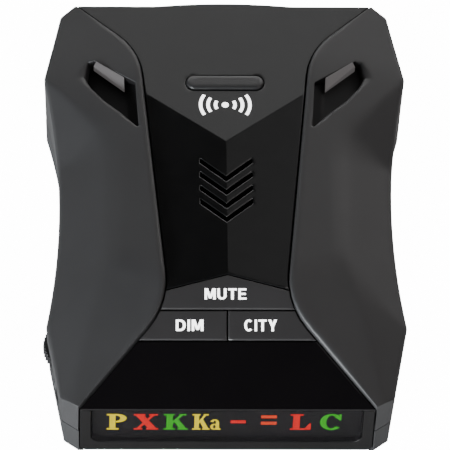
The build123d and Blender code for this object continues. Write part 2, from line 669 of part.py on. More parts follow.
# ---- volume control ---------------------------------------------------------------------------
SHAFT_R = 1.5
with BuildPart() as volume_pot:
    x, y = WHEEL_AT
    add(box_between((x - 2.6, y - 4.0, BOARD_TOP), (x + 5.0, y + 4.0, WHEEL_LOW - 0.3)))
    add(post(x, y, SHAFT_R + 0.05, BOARD_TOP + 0.8, WHEEL_HIGH), mode=Mode.SUBTRACT)
finish(volume_pot.part, "volume_pot")

with BuildPart() as pot_shaft:
    add(post(*WHEEL_AT, SHAFT_R, BOARD_TOP + 0.9, WHEEL_HIGH - 0.6))
    add(post(*WHEEL_AT, 0.6, WHEEL_LOW, WHEEL_HIGH), mode=Mode.SUBTRACT)
finish(pot_shaft.part, "pot_shaft")

with BuildPart() as volume_wheel:
    with BuildSketch(Plane.XY.offset(WHEEL_LOW)):
        teeth = []
        for i in range(2 * WHEEL_TEETH):
            radius = WHEEL_R - TOOTH_DEPTH * (i % 2)
            angle = math.pi * i / WHEEL_TEETH
            teeth.append((WHEEL_AT[0] - radius * math.cos(angle), WHEEL_AT[1] - radius * math.sin(angle)))
        with BuildLine():
            Polyline(*teeth, close=True)
        make_face()
    extrude(amount=WHEEL_HIGH - WHEEL_LOW)
    add(post(*WHEEL_AT, SHAFT_R, 0, 20), mode=Mode.SUBTRACT)
    add(post(*WHEEL_AT, 5.0, WHEEL_HIGH - 0.6, 20), mode=Mode.SUBTRACT)
finish(volume_wheel.part, "volume_wheel")

with BuildPart() as wheel_screw:
    add(post(*WHEEL_AT, 0.55, WHEEL_LOW + 0.1, WHEEL_HIGH - 0.6))
    add(post(*WHEEL_AT, 2.1, WHEEL_HIGH - 0.6, WHEEL_HIGH + 0.1))
    add(cross_recess(*WHEEL_AT, WHEEL_HIGH, 2.8, 0.5, 0.5), mode=Mode.SUBTRACT)
finish(wheel_screw.part, "wheel_screw")

# ---- power jack ---------------------------------------------------------------------------------
with BuildPart() as power_jack:
    inner_x = JACK_MOUTH_X + JACK_LENGTH
    with BuildSketch(Plane.YZ.offset(JACK_MOUTH_X)):
        with Locations((JACK_Y, JACK_Z)):
            Circle(JACK_BARREL_R)
    extrude(amount=4.0)
    add(box_between((JACK_MOUTH_X + 2.6, JACK_Y - 2.5, BOARD_TOP), (inner_x + 1.2, JACK_Y + 2.5, JACK_Z + 2.5)))
    with BuildSketch(Plane.YZ.offset(JACK_MOUTH_X)):
        with Locations((JACK_Y, JACK_Z)):
            Circle(JACK_R)
    extrude(amount=JACK_LENGTH, mode=Mode.SUBTRACT)
finish(power_jack.part, "power_jack")
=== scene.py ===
"""Looks of a compact dashboard radar detector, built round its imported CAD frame.

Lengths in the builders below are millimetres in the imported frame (X right, Y to the antenna end, Z up);
new_piece() and printed() write their meshes in metres. The stage, camera and lights are in metres.
"""
import json
import math

import bmesh
import bpy
import numpy as np
from mathutils import Matrix, Vector, geometry


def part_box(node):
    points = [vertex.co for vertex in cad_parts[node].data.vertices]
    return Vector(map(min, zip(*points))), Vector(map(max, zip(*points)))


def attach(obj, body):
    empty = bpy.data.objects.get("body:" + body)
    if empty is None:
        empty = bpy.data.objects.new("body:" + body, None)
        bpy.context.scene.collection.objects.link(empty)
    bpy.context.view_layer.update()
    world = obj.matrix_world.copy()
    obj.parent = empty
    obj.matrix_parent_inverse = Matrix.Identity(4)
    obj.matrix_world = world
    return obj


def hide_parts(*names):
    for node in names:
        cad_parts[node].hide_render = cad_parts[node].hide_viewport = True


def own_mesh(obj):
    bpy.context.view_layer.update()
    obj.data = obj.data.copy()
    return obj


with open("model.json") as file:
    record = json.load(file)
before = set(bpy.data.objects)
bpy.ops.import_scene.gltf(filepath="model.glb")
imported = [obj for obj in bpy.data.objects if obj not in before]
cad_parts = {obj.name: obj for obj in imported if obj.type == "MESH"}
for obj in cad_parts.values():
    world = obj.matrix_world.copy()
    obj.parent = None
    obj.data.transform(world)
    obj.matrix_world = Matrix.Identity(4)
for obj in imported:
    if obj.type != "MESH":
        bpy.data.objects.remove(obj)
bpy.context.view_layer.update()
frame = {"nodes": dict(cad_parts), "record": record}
NODES = frame["nodes"]
MM = 0.001
BODY_OF = {node: body for body, group in frame["record"]["behaviour"]["bodies"].items() for node in group}


def box_mm(node):
    """Lowest and highest corner of a CAD node in millimetres."""
    low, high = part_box(node)
    return low / MM, high / MM


# ---- driving dimensions shared with the CAD model ----
HEIGHT = 30.0
BASE_Z = 0.3
PARTING_Z = 8.5
SHOULDER_Z = 25.0
GAP = 0.24
PLAN_POINTS = [
    ((31.4, -49.0), (31.55, -49.0)),
    ((34.5, -46.7), (35.5, -46.5)),
    ((37.6, -29.1), (38.6, -29.5)),
    ((34.3, 0.0), (36.0, 0.0)),
    ((38.5, 29.3), (39.0, 29.6)),
    ((35.0, 45.6), (35.5, 45.8)),
    ((32.0, 48.1), (32.3, 48.4)),
]
SEAM_POINTS = [(31.8, 48.4), (18.4, 35.3), (12.4, -28.9), (31.3, -49.1)]
SEAM_RADII = [18.0, 14.0]
FRONT_Y = 48.4
RIDGE_SLOPE = 0.11
REAR_SLOPE = 0.4788
FRONT_SLOPE = 0.14
APEX_Y = -23.2
VEE_Y = 10.1
WING_FACETS = [
    ((15, 0, 29.5), -0.20, 0),
    ((15, 30, 29.5), -0.20, -0.075),
    ((14, -29, 28.4), -0.309, 0.21),
    ((38.6, -29.5, 18.5), -0.535, 0.156),
]
SCOOP_FACETS = [((24.5, 0, 27.6), -0.655, 0), ((39, 29.8, 24.7), -0.543, 0.294)]
EYE_DEPTH = 2.6
KEY_SPLIT_Y = -30.0
KEY_END_Y = -35.9
CHEVRON_TIPS = [0.0, -3.4, -6.8, -10.2]
CHEVRON_HALF = 5.6
CHEVRON_SWEEP = 5.0
CHEVRON_WIDTH = 1.3


# ---- materials ----
STREAKS = (1.0, 40.0, 40.0)     # squeezes noise into streaks along X


def new_material(name):
    """A new material, its node tree and its shader."""
    material = bpy.data.materials.new(name)
    material.use_nodes = True
    tree = material.node_tree
    return material, tree, tree.nodes["Principled BSDF"]


def put(node, values):
    """Set a node's inputs by their names."""
    for name, value in values.items():
        node.inputs[name].default_value = value


def add_node(tree, kind, values):
    """A new node with the stated input values."""
    node = tree.nodes.new(kind)
    put(node, values)
    return node


def on_object(tree, kind, values):
    """A new node fed with the object's own coordinates, in metres."""
    node = add_node(tree, kind, values)
    place = tree.nodes.new("ShaderNodeTexCoord")
    tree.links.new(place.outputs["Object"], node.inputs["Vector"])
    return node


def object_noise(tree, scale, detail=2.0, roughness=0.5):
    """Noise over the object's own metres, as a value output: scale is features per metre."""
    values = {"Scale": scale, "Detail": detail, "Roughness": roughness}
    return on_object(tree, "ShaderNodeTexNoise", values).outputs["Fac"]


def ramp_between(tree, source, low, high, start=0.3, end=0.7):
    """A colour ramp from low to high driven by a value output."""
    ramp = tree.nodes.new("ShaderNodeValToRGB")
    ramp.color_ramp.elements[0].position = start
    ramp.color_ramp.elements[1].position = end
    ramp.color_ramp.elements[0].color = low
    ramp.color_ramp.elements[1].color = high
    tree.links.new(source, ramp.inputs["Fac"])
    return ramp


def tinted(tree, shader, source, low, high, start=0.3, end=0.7):
    """Run the base colour from low to high with a value output, and return the colour's output."""
    tint = ramp_between(tree, source, low, high, start, end).outputs["Color"]
    tree.links.new(tint, shader.inputs["Base Color"])
    return tint


def uneven_gloss(tree, shader, source, low, high):
    """Run the roughness from low to high with a value output."""
    gloss = add_node(tree, "ShaderNodeMapRange", {"To Min": low, "To Max": high})
    tree.links.new(source, gloss.inputs["Value"])
    tree.links.new(gloss.outputs["Result"], shader.inputs["Roughness"])


def bumped(tree, shader, source, strength, depth):
    """A bump driven by a value output, its depth in millimetres."""
    bump = add_node(tree, "ShaderNodeBump", {"Strength": strength, "Distance": depth * MM})
    tree.links.new(source, bump.inputs["Height"])
    tree.links.new(bump.outputs["Normal"], shader.inputs["Normal"])


def shade(colour, factor):
    """A colour scaled by a factor, with full alpha."""
    return tuple(min(1.0, c * factor) for c in colour[:3]) + (1.0,)


def plastic(name, colour, roughness, grain=4000.0, depth=0.012, mottle=0.06, polish=0.05,
            coat=0.0, specular=0.5, metallic=0.0):
    """Moulded plastic or metal: a grain in the bump, a slight mottle in the colour, uneven polish."""
    material, tree, shader = new_material(name)
    broad = object_noise(tree, 90.0, 3.0)
    tinted(tree, shader, broad, shade(colour, 1 - mottle), shade(colour, 1 + mottle))
    smudge = object_noise(tree, 260.0, 4.0, 0.6)
    uneven_gloss(tree, shader, smudge, max(0.02, roughness - polish), roughness + polish)
    bumped(tree, shader, object_noise(tree, grain), 0.5, depth)
    put(shader, {"Specular IOR Level": specular, "Metallic": metallic,
                 "Coat Weight": coat, "Coat Roughness": 0.06})
    return material


def brushed(name, colour, roughness):
    """Rolled or drawn metal, with its streaks along X."""
    material, tree, shader = new_material(name)
    stretch = on_object(tree, "ShaderNodeMapping", {"Scale": STREAKS})
    streaks = add_node(tree, "ShaderNodeTexNoise", {"Scale": 150.0, "Detail": 3.0})
    tree.links.new(stretch.outputs["Vector"], streaks.inputs["Vector"])
    tinted(tree, shader, streaks.outputs["Fac"], shade(colour, 0.85), shade(colour, 1.1))
    uneven_gloss(tree, shader, streaks.outputs["Fac"], roughness * 0.8, roughness * 1.3)
    put(shader, {"Metallic": 1.0})
    return material


def lit_ink(name, colour):
    """Coloured ink, glowing a little unevenly."""
    material, tree, shader = new_material(name)
    tint = tinted(tree, shader, object_noise(tree, 500.0), shade(colour, 0.85), shade(colour, 1.0))
    tree.links.new(tint, shader.inputs["Emission Color"])
    put(shader, {"Emission Strength": 1.6, "Roughness": 0.5, "Specular IOR Level": 0.1})
    return material


def smoked(name, colour, alpha, roughness=0.05, specular=0.5):
    """Smoked plastic, clear where alpha is under 1, with faint smears in its polish."""
    material, tree, shader = new_material(name)
    smear = object_noise(tree, 60.0, 4.0, 0.6)
    tinted(tree, shader, smear, shade(colour, 0.9), shade(colour, 1.15))
    uneven_gloss(tree, shader, smear, roughness, roughness * 2.5)
    put(shader, {"Alpha": alpha, "Specular IOR Level": specular})
    return material


def woven(name, colour, pitch):
    """Fine cloth: crossed threads in colour and bump."""
    material, tree, shader = new_material(name)
    both = tree.nodes.new("ShaderNodeMath")
    both.operation = "MULTIPLY"
    for number, axis in enumerate(("X", "Y")):
        wave = on_object(tree, "ShaderNodeTexWave", {"Scale": 1 / (pitch * MM * 3.2), "Distortion": 0.4})
        wave.bands_direction = axis
        tree.links.new(wave.outputs["Fac"], both.inputs[number])
    tinted(tree, shader, both.outputs["Value"], shade(colour, 0.4), shade(colour, 1.4), 0.1, 0.6)
    bumped(tree, shader, both.outputs["Value"], 0.6, 0.05)
    put(shader, {"Roughness": 0.85})
    return material


def circuit(name):
    """Green solder mask over faint copper tracks."""
    material, tree, shader = new_material(name)
    tracks = on_object(tree, "ShaderNodeTexBrick", {
        "Scale": 260.0, "Mortar Size": 0.035, "Color1": (0.010, 0.085, 0.030, 1),
        "Color2": (0.012, 0.100, 0.036, 1), "Mortar": (0.03, 0.19, 0.06, 1)})
    tree.links.new(tracks.outputs["Color"], shader.inputs["Base Color"])
    put(shader, {"Roughness": 0.3, "Coat Weight": 0.3})
    return material


def glowing(material, colour, strength):
    """The material, with an even painted glow: emitted light that stands in for light falling on it."""
    shader = material.node_tree.nodes["Principled BSDF"]
    put(shader, {"Emission Color": colour, "Emission Strength": strength})
    return material


WING = plastic("wing_texture", (0.031, 0.0305, 0.0315), 0.52, grain=3600, depth=0.02)
BASE = plastic("base_texture", (0.026, 0.026, 0.027), 0.55, grain=3000, depth=0.025)
SPINE = plastic("spine_gloss", (0.0045, 0.0045, 0.0047), 0.24, grain=2500, depth=0.002, coat=0.4)
HOOD = plastic("hood_piano", (0.0048, 0.0042, 0.0047), 0.14, grain=2500, depth=0.001, polish=0.04,
               specular=0.28)
BEZEL = plastic("bezel_satin", (0.0075, 0.0071, 0.0071), 0.42, grain=3600, depth=0.012, specular=0.15)
KEY = plastic("key_satin", (0.028, 0.0265, 0.027), 0.42, grain=3600, depth=0.012)
# painted light: the alert lenses glow evenly, filling in the shade that falls across them
ALERT_PAINTED_GLOW = glowing(plastic("alert_grey", (0.045, 0.042, 0.042), 0.38, grain=3000, depth=0.006, mottle=0.04),
                (1.0, 0.94, 0.95, 1), 0.078)
WHEEL = plastic("black_knurl", (0.012, 0.012, 0.0125), 0.45, grain=4000, depth=0.01)
PANEL = smoked("panel_smoke", (0.012, 0.006, 0.008), 1.0, 0.06)
RUBBER = plastic("grip_rubber", (0.014, 0.014, 0.014), 0.8, grain=2200, depth=0.06, specular=0.3)
FOIL = brushed("blank_foil", (0.55, 0.55, 0.55), 0.35)
SCREW = brushed("black_zinc", (0.12, 0.12, 0.13), 0.32)
RELEASE = plastic("release_satin", (0.030, 0.030, 0.031), 0.42, grain=3600, depth=0.012)
# painted light: the white print glows so that it reads brighter than the lights alone make it
PRINT = glowing(plastic("white_print_painted_glow", (0.86, 0.86, 0.86), 0.5, grain=3000, depth=0.003, mottle=0.03),
                (1, 1, 1, 1), 3.5)
# also laid on the eye recess walls as painted shade
EYE_DARK = plastic("eye_dark", (0.004, 0.0036, 0.004), 0.55, grain=3000, depth=0.004, specular=0.2)


# ---- plan curves ----
CORNER_STEPS = 5


def rounded(points, radii, closed=False):
    """Plan points with their corners turned into arcs: one radius for each inner or closed corner."""
    count = len(points)
    corners = range(count) if closed else range(1, count - 1)
    path = [] if closed else [Vector(points[0])]
    for i in corners:
        here = Vector(points[i])
        back = (Vector(points[i - 1]) - here).normalized()
        ahead = (Vector(points[(i + 1) % count]) - here).normalized()
        radius = radii[i if closed else i - 1]
        half = back.angle(ahead) / 2
        if radius <= 0:
            path.append(here)
            continue
        middle = here + (back + ahead).normalized() * (radius / math.sin(half))
        start = here + back * (radius / math.tan(half)) - middle
        turn = math.pi - 2 * half
        if back.cross(ahead) > 0:
            turn = -turn
        for k in range(CORNER_STEPS + 1):
            angle = turn * k / CORNER_STEPS
            path.append(middle + Vector((start.x * math.cos(angle) - start.y * math.sin(angle),
                                         start.x * math.sin(angle) + start.y * math.cos(angle))))
    if not closed:
        path.append(Vector(points[-1]))
    return path


def divisions(path, spacing, closed=False):
    """How many equal lengths, each within the spacing, every run of a path divides into."""
    ends = path[1:] + path[:1] if closed else path[1:]
    return [max(1, math.ceil((b - a).length / spacing)) for a, b in zip(path, ends)]


def divided(path, counts, closed=False):
    """The path's points with every run divided by its count."""
    ends = path[1:] + path[:1] if closed else path[1:]
    points = []
    for start, end, count in zip(path, ends, counts):
        points.extend(start.lerp(end, k / count) for k in range(count))
    return points if closed else points + [path[-1]]


def arc_through(start, middle, end, count):
    """Points strictly between the ends of a plan arc through three points."""
    a, b, c = Vector(start), Vector(middle), Vector(end)
    d = 2 * (a.x * (b.y - c.y) + b.x * (c.y - a.y) + c.x * (a.y - b.y))
    squares = (a.length_squared, b.length_squared, c.length_squared)
    centre = Vector((
        (squares[0] * (b.y - c.y) + squares[1] * (c.y - a.y) + squares[2] * (a.y - b.y)) / d,
        (squares[0] * (c.x - b.x) + squares[1] * (a.x - c.x) + squares[2] * (b.x - a.x)) / d))
    first = (a - centre).angle_signed(c - centre)
    points = []
    for k in range(1, count):
        arm = a - centre
        arm.rotate(Matrix.Rotation(-first * k / count, 2))
        points.append(centre + arm)
    return points


def shifted(path, amount):
    """An open path moved to its left by an amount."""
    moved = []
    for i, point in enumerate(path):
        along = path[min(i + 1, len(path) - 1)] - path[max(i - 1, 0)]
        moved.append(point + Vector((-along.y, along.x)).normalized() * amount)
    return moved


def loop_of(points, edge, corner=0.0, spacing=1.2):
    """A closed plan loop of (x, y, edge width, edge depth) with equally rounded corners."""
    path = rounded([Vector(p) for p in points], [corner] * len(points), closed=True)
    return [(p.x, p.y, edge, edge) for p in divided(path, divisions(path, spacing, True), True)]


def turning(loop, clockwise):
    """The loop, run the stated way round."""
    area = sum(a[0] * b[1] - b[0] * a[1] for a, b in zip(loop, loop[1:] + loop[:1]))
    return loop if (area < 0) == clockwise else loop[::-1]


def inside(loop, places):
    """For each place, whether it lies inside a closed loop."""
    x, y = places[:, 0], places[:, 1]
    result = np.zeros(len(places), bool)
    for (x1, y1), (x2, y2) in zip(loop, loop[1:] + loop[:1]):
        if y1 != y2:
            result ^= ((y1 > y) != (y2 > y)) & (x < (x2 - x1) * (y - y1) / (y2 - y1) + x1)
    return result


def between(loops, places):
    """For each place, whether it lies inside the first closed loop and outside the others."""
    keep = inside(loops[0], places)
    for hole in loops[1:]:
        keep &= ~inside(hole, places)
    return keep


# ---- moulded covers ----
RING_STEPS = 4
FOLD_STEP = 0.8             # spacing of a fold's points, as a share of the roof's spacing
FOLD_CLEAR = 0.45           # room that the grid leaves them, as a share of it too


def edge_rings(loop):
    """Rings of (x, y, drop) that carry a loop from its wall up over its rounded edge."""
    count = len(loop)
    sides = []
    for i in range(count):
        ahead = Vector(loop[(i + 1) % count][:2]) - Vector(loop[i][:2])
        sides.append(Vector((-ahead.y, ahead.x)).normalized())
    rings = []
    for k in range(RING_STEPS + 1):
        angle = math.pi / 2 * k / RING_STEPS
        ring = []
        for i, (x, y, width, depth) in enumerate(loop):
            inward = sides[i - 1] + sides[i]
            inward *= 2 / max(inward.length_squared, 1.0)
            shift = width * (1 - math.cos(angle))
            ring.append((x + inward.x * shift, y + inward.y * shift, depth * (1 - math.sin(angle))))
        rings.append(ring)
    return rings


def grid_between(limits, spacing):
    """Staggered plan points inside the first closed limit, outside the others and clear of them all."""
    edge = np.array([point for limit in limits for point in limit])
    low, high = edge.min(0), edge.max(0)
    row_step = spacing * math.sqrt(3) / 2
    grid = []
    for row in range(int((high[1] - low[1]) / row_step) + 1):
        for column in range(int((high[0] - low[0]) / spacing) + 1):
            grid.append((low[0] + spacing * (column + row % 2 / 2), low[1] + row * row_step))
    grid = np.array(grid)
    grid = grid[between(limits, grid)]
    nearest = np.full(len(grid), np.inf)
    for point in edge:
        nearest = np.minimum(nearest, np.hypot(grid[:, 0] - point[0], grid[:, 1] - point[1]))
    return grid[nearest > spacing / 2]


def cover_surface(outer, holes, height, spacing, folds):
    """A roof with rounded edges: vertices, triangles, and each loop's wall vertices in order."""
    loops = [turning(outer, False)] + [turning(hole, True) for hole in holes]
    plan, drops, edges, walls, limits = [], [], [], [], []
    for loop in loops:
        for number, ring in enumerate(edge_rings(loop)):
            first = len(plan)
            plan.extend((x, y) for x, y, _ in ring)
            drops.extend(drop for _, _, drop in ring)
            edges.extend((first + i, first + (i + 1) % len(ring)) for i in range(len(ring)))
            if number == 0:
                walls.append(list(range(first, first + len(ring))))
        limits.append([(x, y) for x, y, _ in ring])
    grid = grid_between(limits, spacing)
    for fold in folds:
        line = divided(fold, divisions(fold, spacing * FOLD_STEP))
        points = np.array([tuple(p) for p in line])
        keep = between(limits, points)
        for point in points:
            far = np.hypot(grid[:, 0] - point[0], grid[:, 1] - point[1]) > spacing * FOLD_CLEAR
            grid = grid[far]
        for number, kept in enumerate(keep):
            if kept:
                if number and keep[number - 1]:
                    edges.append((len(plan) - 1, len(plan)))
                plan.append(tuple(points[number]))
                drops.append(0.0)
    plan.extend((float(x), float(y)) for x, y in grid)
    drops.extend([0.0] * len(grid))
    places, _, faces, sources, _, _ = geometry.delaunay_2d_cdt([Vector(p) for p in plan], edges, [], 0, 1e-5)
    vertices = []
    vertex_of = {}
    for number, (place, source) in enumerate(zip(places, sources)):
        drop = min((drops[s] for s in source), default=0.0)
        vertices.append((place.x, place.y, height(place.x, place.y) - drop))
        for s in source:
            vertex_of[s] = number
    corners = np.array([[places[v] for v in face] for face in faces])
    middles = corners.mean(axis=1)
    keep = between([[p[:2] for p in loop] for loop in loops], middles)
    triangles = [tuple(face) for face, kept in zip(faces, keep) if kept]
    return vertices, triangles, [[vertex_of[w] for w in wall] for wall in walls]


def ring_faces(lower, upper):
    """Faces between two closed rings of vertex numbers."""
    return [(a, b, d, c) for a, b, c, d in zip(lower, lower[1:] + lower[:1], upper, upper[1:] + upper[:1])]


def plate(outer, holes, height, underside, spacing, folds):
    """Vertices and faces of a closed cover: roof, straight walls and an underside."""
    top, triangles, walls = cover_surface(outer, holes, height, spacing, folds)
    count = len(top)
    under = [(x, y, underside(x, y)) for x, y, _ in top]
    faces = triangles + [tuple(count + v for v in reversed(face)) for face in triangles]
    for wall in walls:
        faces += ring_faces([count + v for v in wall], wall)
    return top + under, faces


# ---- making pieces ----
BEVEL_FROM = math.radians(30)   # edges sharper than this are broken by softened()


def add_object(name, data):
    """A new object of the scene that holds the data."""
    item = bpy.data.objects.new(name, data)
    bpy.context.scene.collection.objects.link(item)
    return item


def copy_of(node, name, material):
    """A new object with a CAD node's own mesh, in one material."""
    mesh = NODES[node].data.copy()
    mesh.name = name
    mesh.materials.clear()
    mesh.materials.append(material)
    return add_object(name, mesh)


def new_piece(name, vertices, faces, material, sharp=40.0):
    """An object from vertices in millimetres, smooth but for edges sharper than an angle."""
    mesh = bpy.data.meshes.new(name)
    mesh.from_pydata([tuple(c * MM for c in v) for v in vertices], [], faces)
    mesh.materials.append(material)
    piece = add_object(name, mesh)
    tidy(piece, sharp)
    return piece


def tidy(piece, sharp):
    """Drop what no face uses, point the faces outward and set smooth shading."""
    work = bmesh.new()
    work.from_mesh(piece.data)
    bmesh.ops.dissolve_degenerate(work, dist=1e-7, edges=work.edges)
    loose = [v for v in work.verts if not v.link_faces]
    bmesh.ops.delete(work, geom=loose, context="VERTS")
    bmesh.ops.recalc_face_normals(work, faces=work.faces)
    work.to_mesh(piece.data)
    work.free()
    piece.data.shade_smooth()
    piece.data.set_sharp_from_angle(angle=math.radians(sharp))


def weighted(piece):
    """Let the larger faces decide the shading at shared corners."""
    modifier = piece.modifiers.new("weighted", "WEIGHTED_NORMAL")
    modifier.keep_sharp = True
    modifier.mode = "FACE_AREA"
    return piece


def applied(piece):
    """The piece with its modifiers made part of its mesh."""
    depsgraph = bpy.context.evaluated_depsgraph_get()
    mesh = bpy.data.meshes.new_from_object(piece.evaluated_get(depsgraph))
    piece.modifiers.clear()
    piece.data = mesh
    return piece


def cut(piece, cutter):
    """Subtract a cutter from a piece and delete the cutter."""
    modifier = piece.modifiers.new("cut", "BOOLEAN")
    modifier.operation = "DIFFERENCE"
    modifier.solver = "EXACT"
    modifier.object = cutter
    applied(piece)
    bpy.data.objects.remove(cutter)
    return piece


def belong(piece, node):
    """Make a piece ride as a CAD node does."""
    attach(piece, BODY_OF[node])
    return piece


def stand(piece, node):
    """Make a piece stand for a CAD node: same body, the node hidden."""
    belong(piece, node)
    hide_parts(node)
    return piece


def make_cover(name, node, material, loop, holes, height, underside, spacing, folds=()):
    """A closed cover that stands for a CAD node."""
    vertices, faces = plate(loop, holes, height, underside, spacing, folds)
    return stand(weighted(new_piece(name, vertices, faces, material)), node)


def softened(node, material, bevel):
    """A CAD node's own shape with its edges broken by a small bevel, in a new piece."""
    piece = copy_of(node, node + "_soft", material)
    work = bmesh.new()
    work.from_mesh(piece.data)
    bmesh.ops.remove_doubles(work, verts=work.verts, dist=2e-6)
    bmesh.ops.dissolve_limit(work, angle_limit=math.radians(0.5), verts=work.verts, edges=work.edges)
    work.to_mesh(piece.data)
    work.free()
    piece.data.shade_smooth()
    modifier = piece.modifiers.new("bevel", "BEVEL")
    modifier.width = bevel * MM
    modifier.segments = 2
    modifier.limit_method = "ANGLE"
    modifier.angle_limit = BEVEL_FROM
    modifier.miter_outer = "MITER_ARC"
    weighted(piece)
    return stand(piece, node)


# ---- roof heights ----
FOLD_SOFT = 1.3             # how far a fold is blended up to FOLD_SOFT_X, and then less and less
FOLD_SOFT_X = 24.0
FOLD_FADE = 0.11
FOLD_CRISP = 0.2
SHOULDER_BLEND = 0.3
SCOOP_SOFTER = 1.6


def facet_z(facet, x, y):
    """Height of a facet over a plan point."""
    (x0, y0, z0), slope_x, slope_y = facet
    return z0 + slope_x * (x - x0) + slope_y * (y - y0)


def soft_min(a, b, blend):
    """The lower of two heights, rounded where they meet."""
    share = max(blend - abs(a - b), 0.0) / blend
    return min(a, b) - share * share * blend / 4


def soft_max(a, b, blend):
    """The higher of two heights, rounded where they meet."""
    return -soft_min(-a, -b, blend)


def wing_z(x, y):
    """The wing's roof, its folds softer near the seam than at the outer side."""
    x = abs(x)
    blend = max(FOLD_CRISP, FOLD_SOFT - FOLD_FADE * max(0.0, x - FOLD_SOFT_X))
    heights = [facet_z(facet, x, y) for facet in WING_FACETS]
    crest = soft_min(heights[0], heights[1], SHOULDER_BLEND)
    near = soft_min(heights[2], heights[3], SHOULDER_BLEND)
    scoops = [facet_z(facet, x, y) for facet in SCOOP_FACETS]
    scoop = soft_max(scoops[0], scoops[1], SCOOP_SOFTER * blend)
    return soft_min(soft_min(crest, near, blend / 2), scoop, blend)


def centre_z(x, y):
    """The centre's roof: two sides of a ridge, a front facet and the rear slope."""
    sides = HEIGHT - RIDGE_SLOPE * abs(x)
    return min(sides, front_z(y), rear_z(x, y))


def front_z(y):
    """The front facet, which the release button and the emblem share."""
    return HEIGHT - FRONT_SLOPE * (y - VEE_Y)


def rear_z(x, y):
    """The rear slope, which the keys and the display hood share."""
    return HEIGHT + REAR_SLOPE * (y - APEX_Y)


# ---- wing covers ----
WING_EDGE = 0.7
SEAM_EDGE = (1.3, 0.9)       # width and depth of the rounded inner edge
WING_SKIN = 1.15
BROW_HALF = 14.5
TIP_FADE = 9.0              # length of wing over which its edges shrink towards a pointed tip
CORNER_RADII = [1.2, 2.0, 2.0, 1.5]
WAIST_STEPS = 16
OUTLINE_SPACING = 1.6
WALL_ROWS = 5
PARTING_GAP = 0.28
REAR_TIP_Y = -49.0
TIP_SHARE = 0.12            # what is left of an edge's width at the very tip
FRONT_FOOT_Y = 44.0         # forward of it the seam wall goes down past the front panel
REAR_FOOT_Y = -38.0         # behind it the seam wall ends above the bezel
SEAM_FOOT_Z = 16.0
REAR_FOOT_Z = 17.4
FRONT_FOOT_Z = PARTING_Z + 0.3
EYE_OUTLINE = [(29.4, 32.6), (28.2, 32.86), (19.3, 26.1), (18.6, 14.4), (20.0, 16.3), (22.6, 19.2),
               (26.0, 22.5), (28.7, 25.9), (30.0, 29.0)]
EYE_CORNER = 0.25
EYE_SPACING = 0.7
EYE_FRONT_SLOPE = 0.76
EYE_LEAN = 1.1              # how far the recess's outer side slants inward on its way down
EYE_LEAN_FADE = 1.2
EYE_WALL_BELOW = 0.6        # how far its walls go below its floor
EYE_OUTER_X = 28.6          # where the soft outer side begins
EYE_OUTER_FADE = 1.4
EYE_INNER_X = 19.0          # where the rear edge begins
EYE_INNER_FADE = 1.2
EYE_CRISP = 2.5             # how far behind its front edge the recess stays crisp
EYE_FADE = 2.0
EYE_REAR_Y = 16.6           # the rear tip lies behind a slanted line through this point
EYE_REAR_X = 18.4
EYE_REAR_SLOPE = 0.95
EYE_EDGES = (0.14, 0.5, 0.4, 1.6)   # edge width all round, and what rear, tip and outer side add
EYE_EDGE_DEPTH = 1.2
WELL_SHADE_X = (18.45, 28.4)      # the recess's walls with painted shade lie between these
WELL_SHADE_Y = (14.2, 33.4)
WELL_SHADE_BELOW = 0.35
WELL_SHADE_STEEP = 0.4            # faces given painted shade have less than this of their normal upright
WHEEL_AT = (-32.4, -29.6)
WHEEL_R = 6.6
WHEEL_LOW = 9.2
WHEEL_HIGH = 11.7
WHEEL_CLEAR = (0.45, 0.7, 0.3)      # room round, below and above the wheel in its notch
JACK_AT = (-39.2, 8.7)
JACK_HOLE_R = 2.7
JACK_CUT = 3.0              # how far the cutter passes the jack at each end


def outline_paths():
    """The right side in plan, rear to front, at the foot and at the shoulder height."""
    paths = []
    for level in (0, 1):
        rear, corner, near, waist, far, front, tip = [pair[level] for pair in PLAN_POINTS]
        arc = arc_through(near, waist, far, WAIST_STEPS)
        points = [rear, corner, near] + [tuple(p) for p in arc] + [far, front, tip]
        radii = CORNER_RADII[:2] + [0] * len(arc) + CORNER_RADII[2:]
        paths.append(rounded(points, radii))
    counts = divisions(paths[1], OUTLINE_SPACING)
    return [divided(path, counts) for path in paths]


def seam_path(shift):
    """The right seam in plan, front to rear, moved towards the wing by a shift."""
    path = rounded(SEAM_POINTS, SEAM_RADII)
    path = divided(path, divisions(path, OUTLINE_SPACING))
    return shifted(path, shift)


def share_at(z):
    """How far a height lies from the foot outline to the shoulder outline."""
    return (z - BASE_Z) / (SHOULDER_Z - BASE_Z)


def wing_side():
    """The right wing's wall line at its roof, each point with its foot point."""
    foot, top = outline_paths()
    side = []
    for low, high in zip(foot, top):
        z = SHOULDER_Z
        for _ in range(4):
            place = low.lerp(high, share_at(z))
            z = wing_z(place.x, place.y) - WING_EDGE
        side.append((place, low.lerp(high, share_at(PARTING_Z + PARTING_GAP))))
    return side


def limited(value):
    """A value kept between 0 and 1."""
    return min(1.0, max(0.0, value))


def fade(value, start, length):
    """How far a value has gone from a start over a length, between 0 and 1."""
    return limited((value - start) / length)


def tip_share(y):
    """Scale of a wing's edge radius near its pointed ends."""
    nearest = min(FRONT_Y - y, y - REAR_TIP_Y)
    return TIP_SHARE + (1 - TIP_SHARE) * limited(nearest / TIP_FADE)


def seam_foot(y):
    """How far down the seam wall goes: past the panel in front, above the bezel behind."""
    if y > FRONT_FOOT_Y:
        return FRONT_FOOT_Z
    return REAR_FOOT_Z if y < REAR_FOOT_Y else SEAM_FOOT_Z


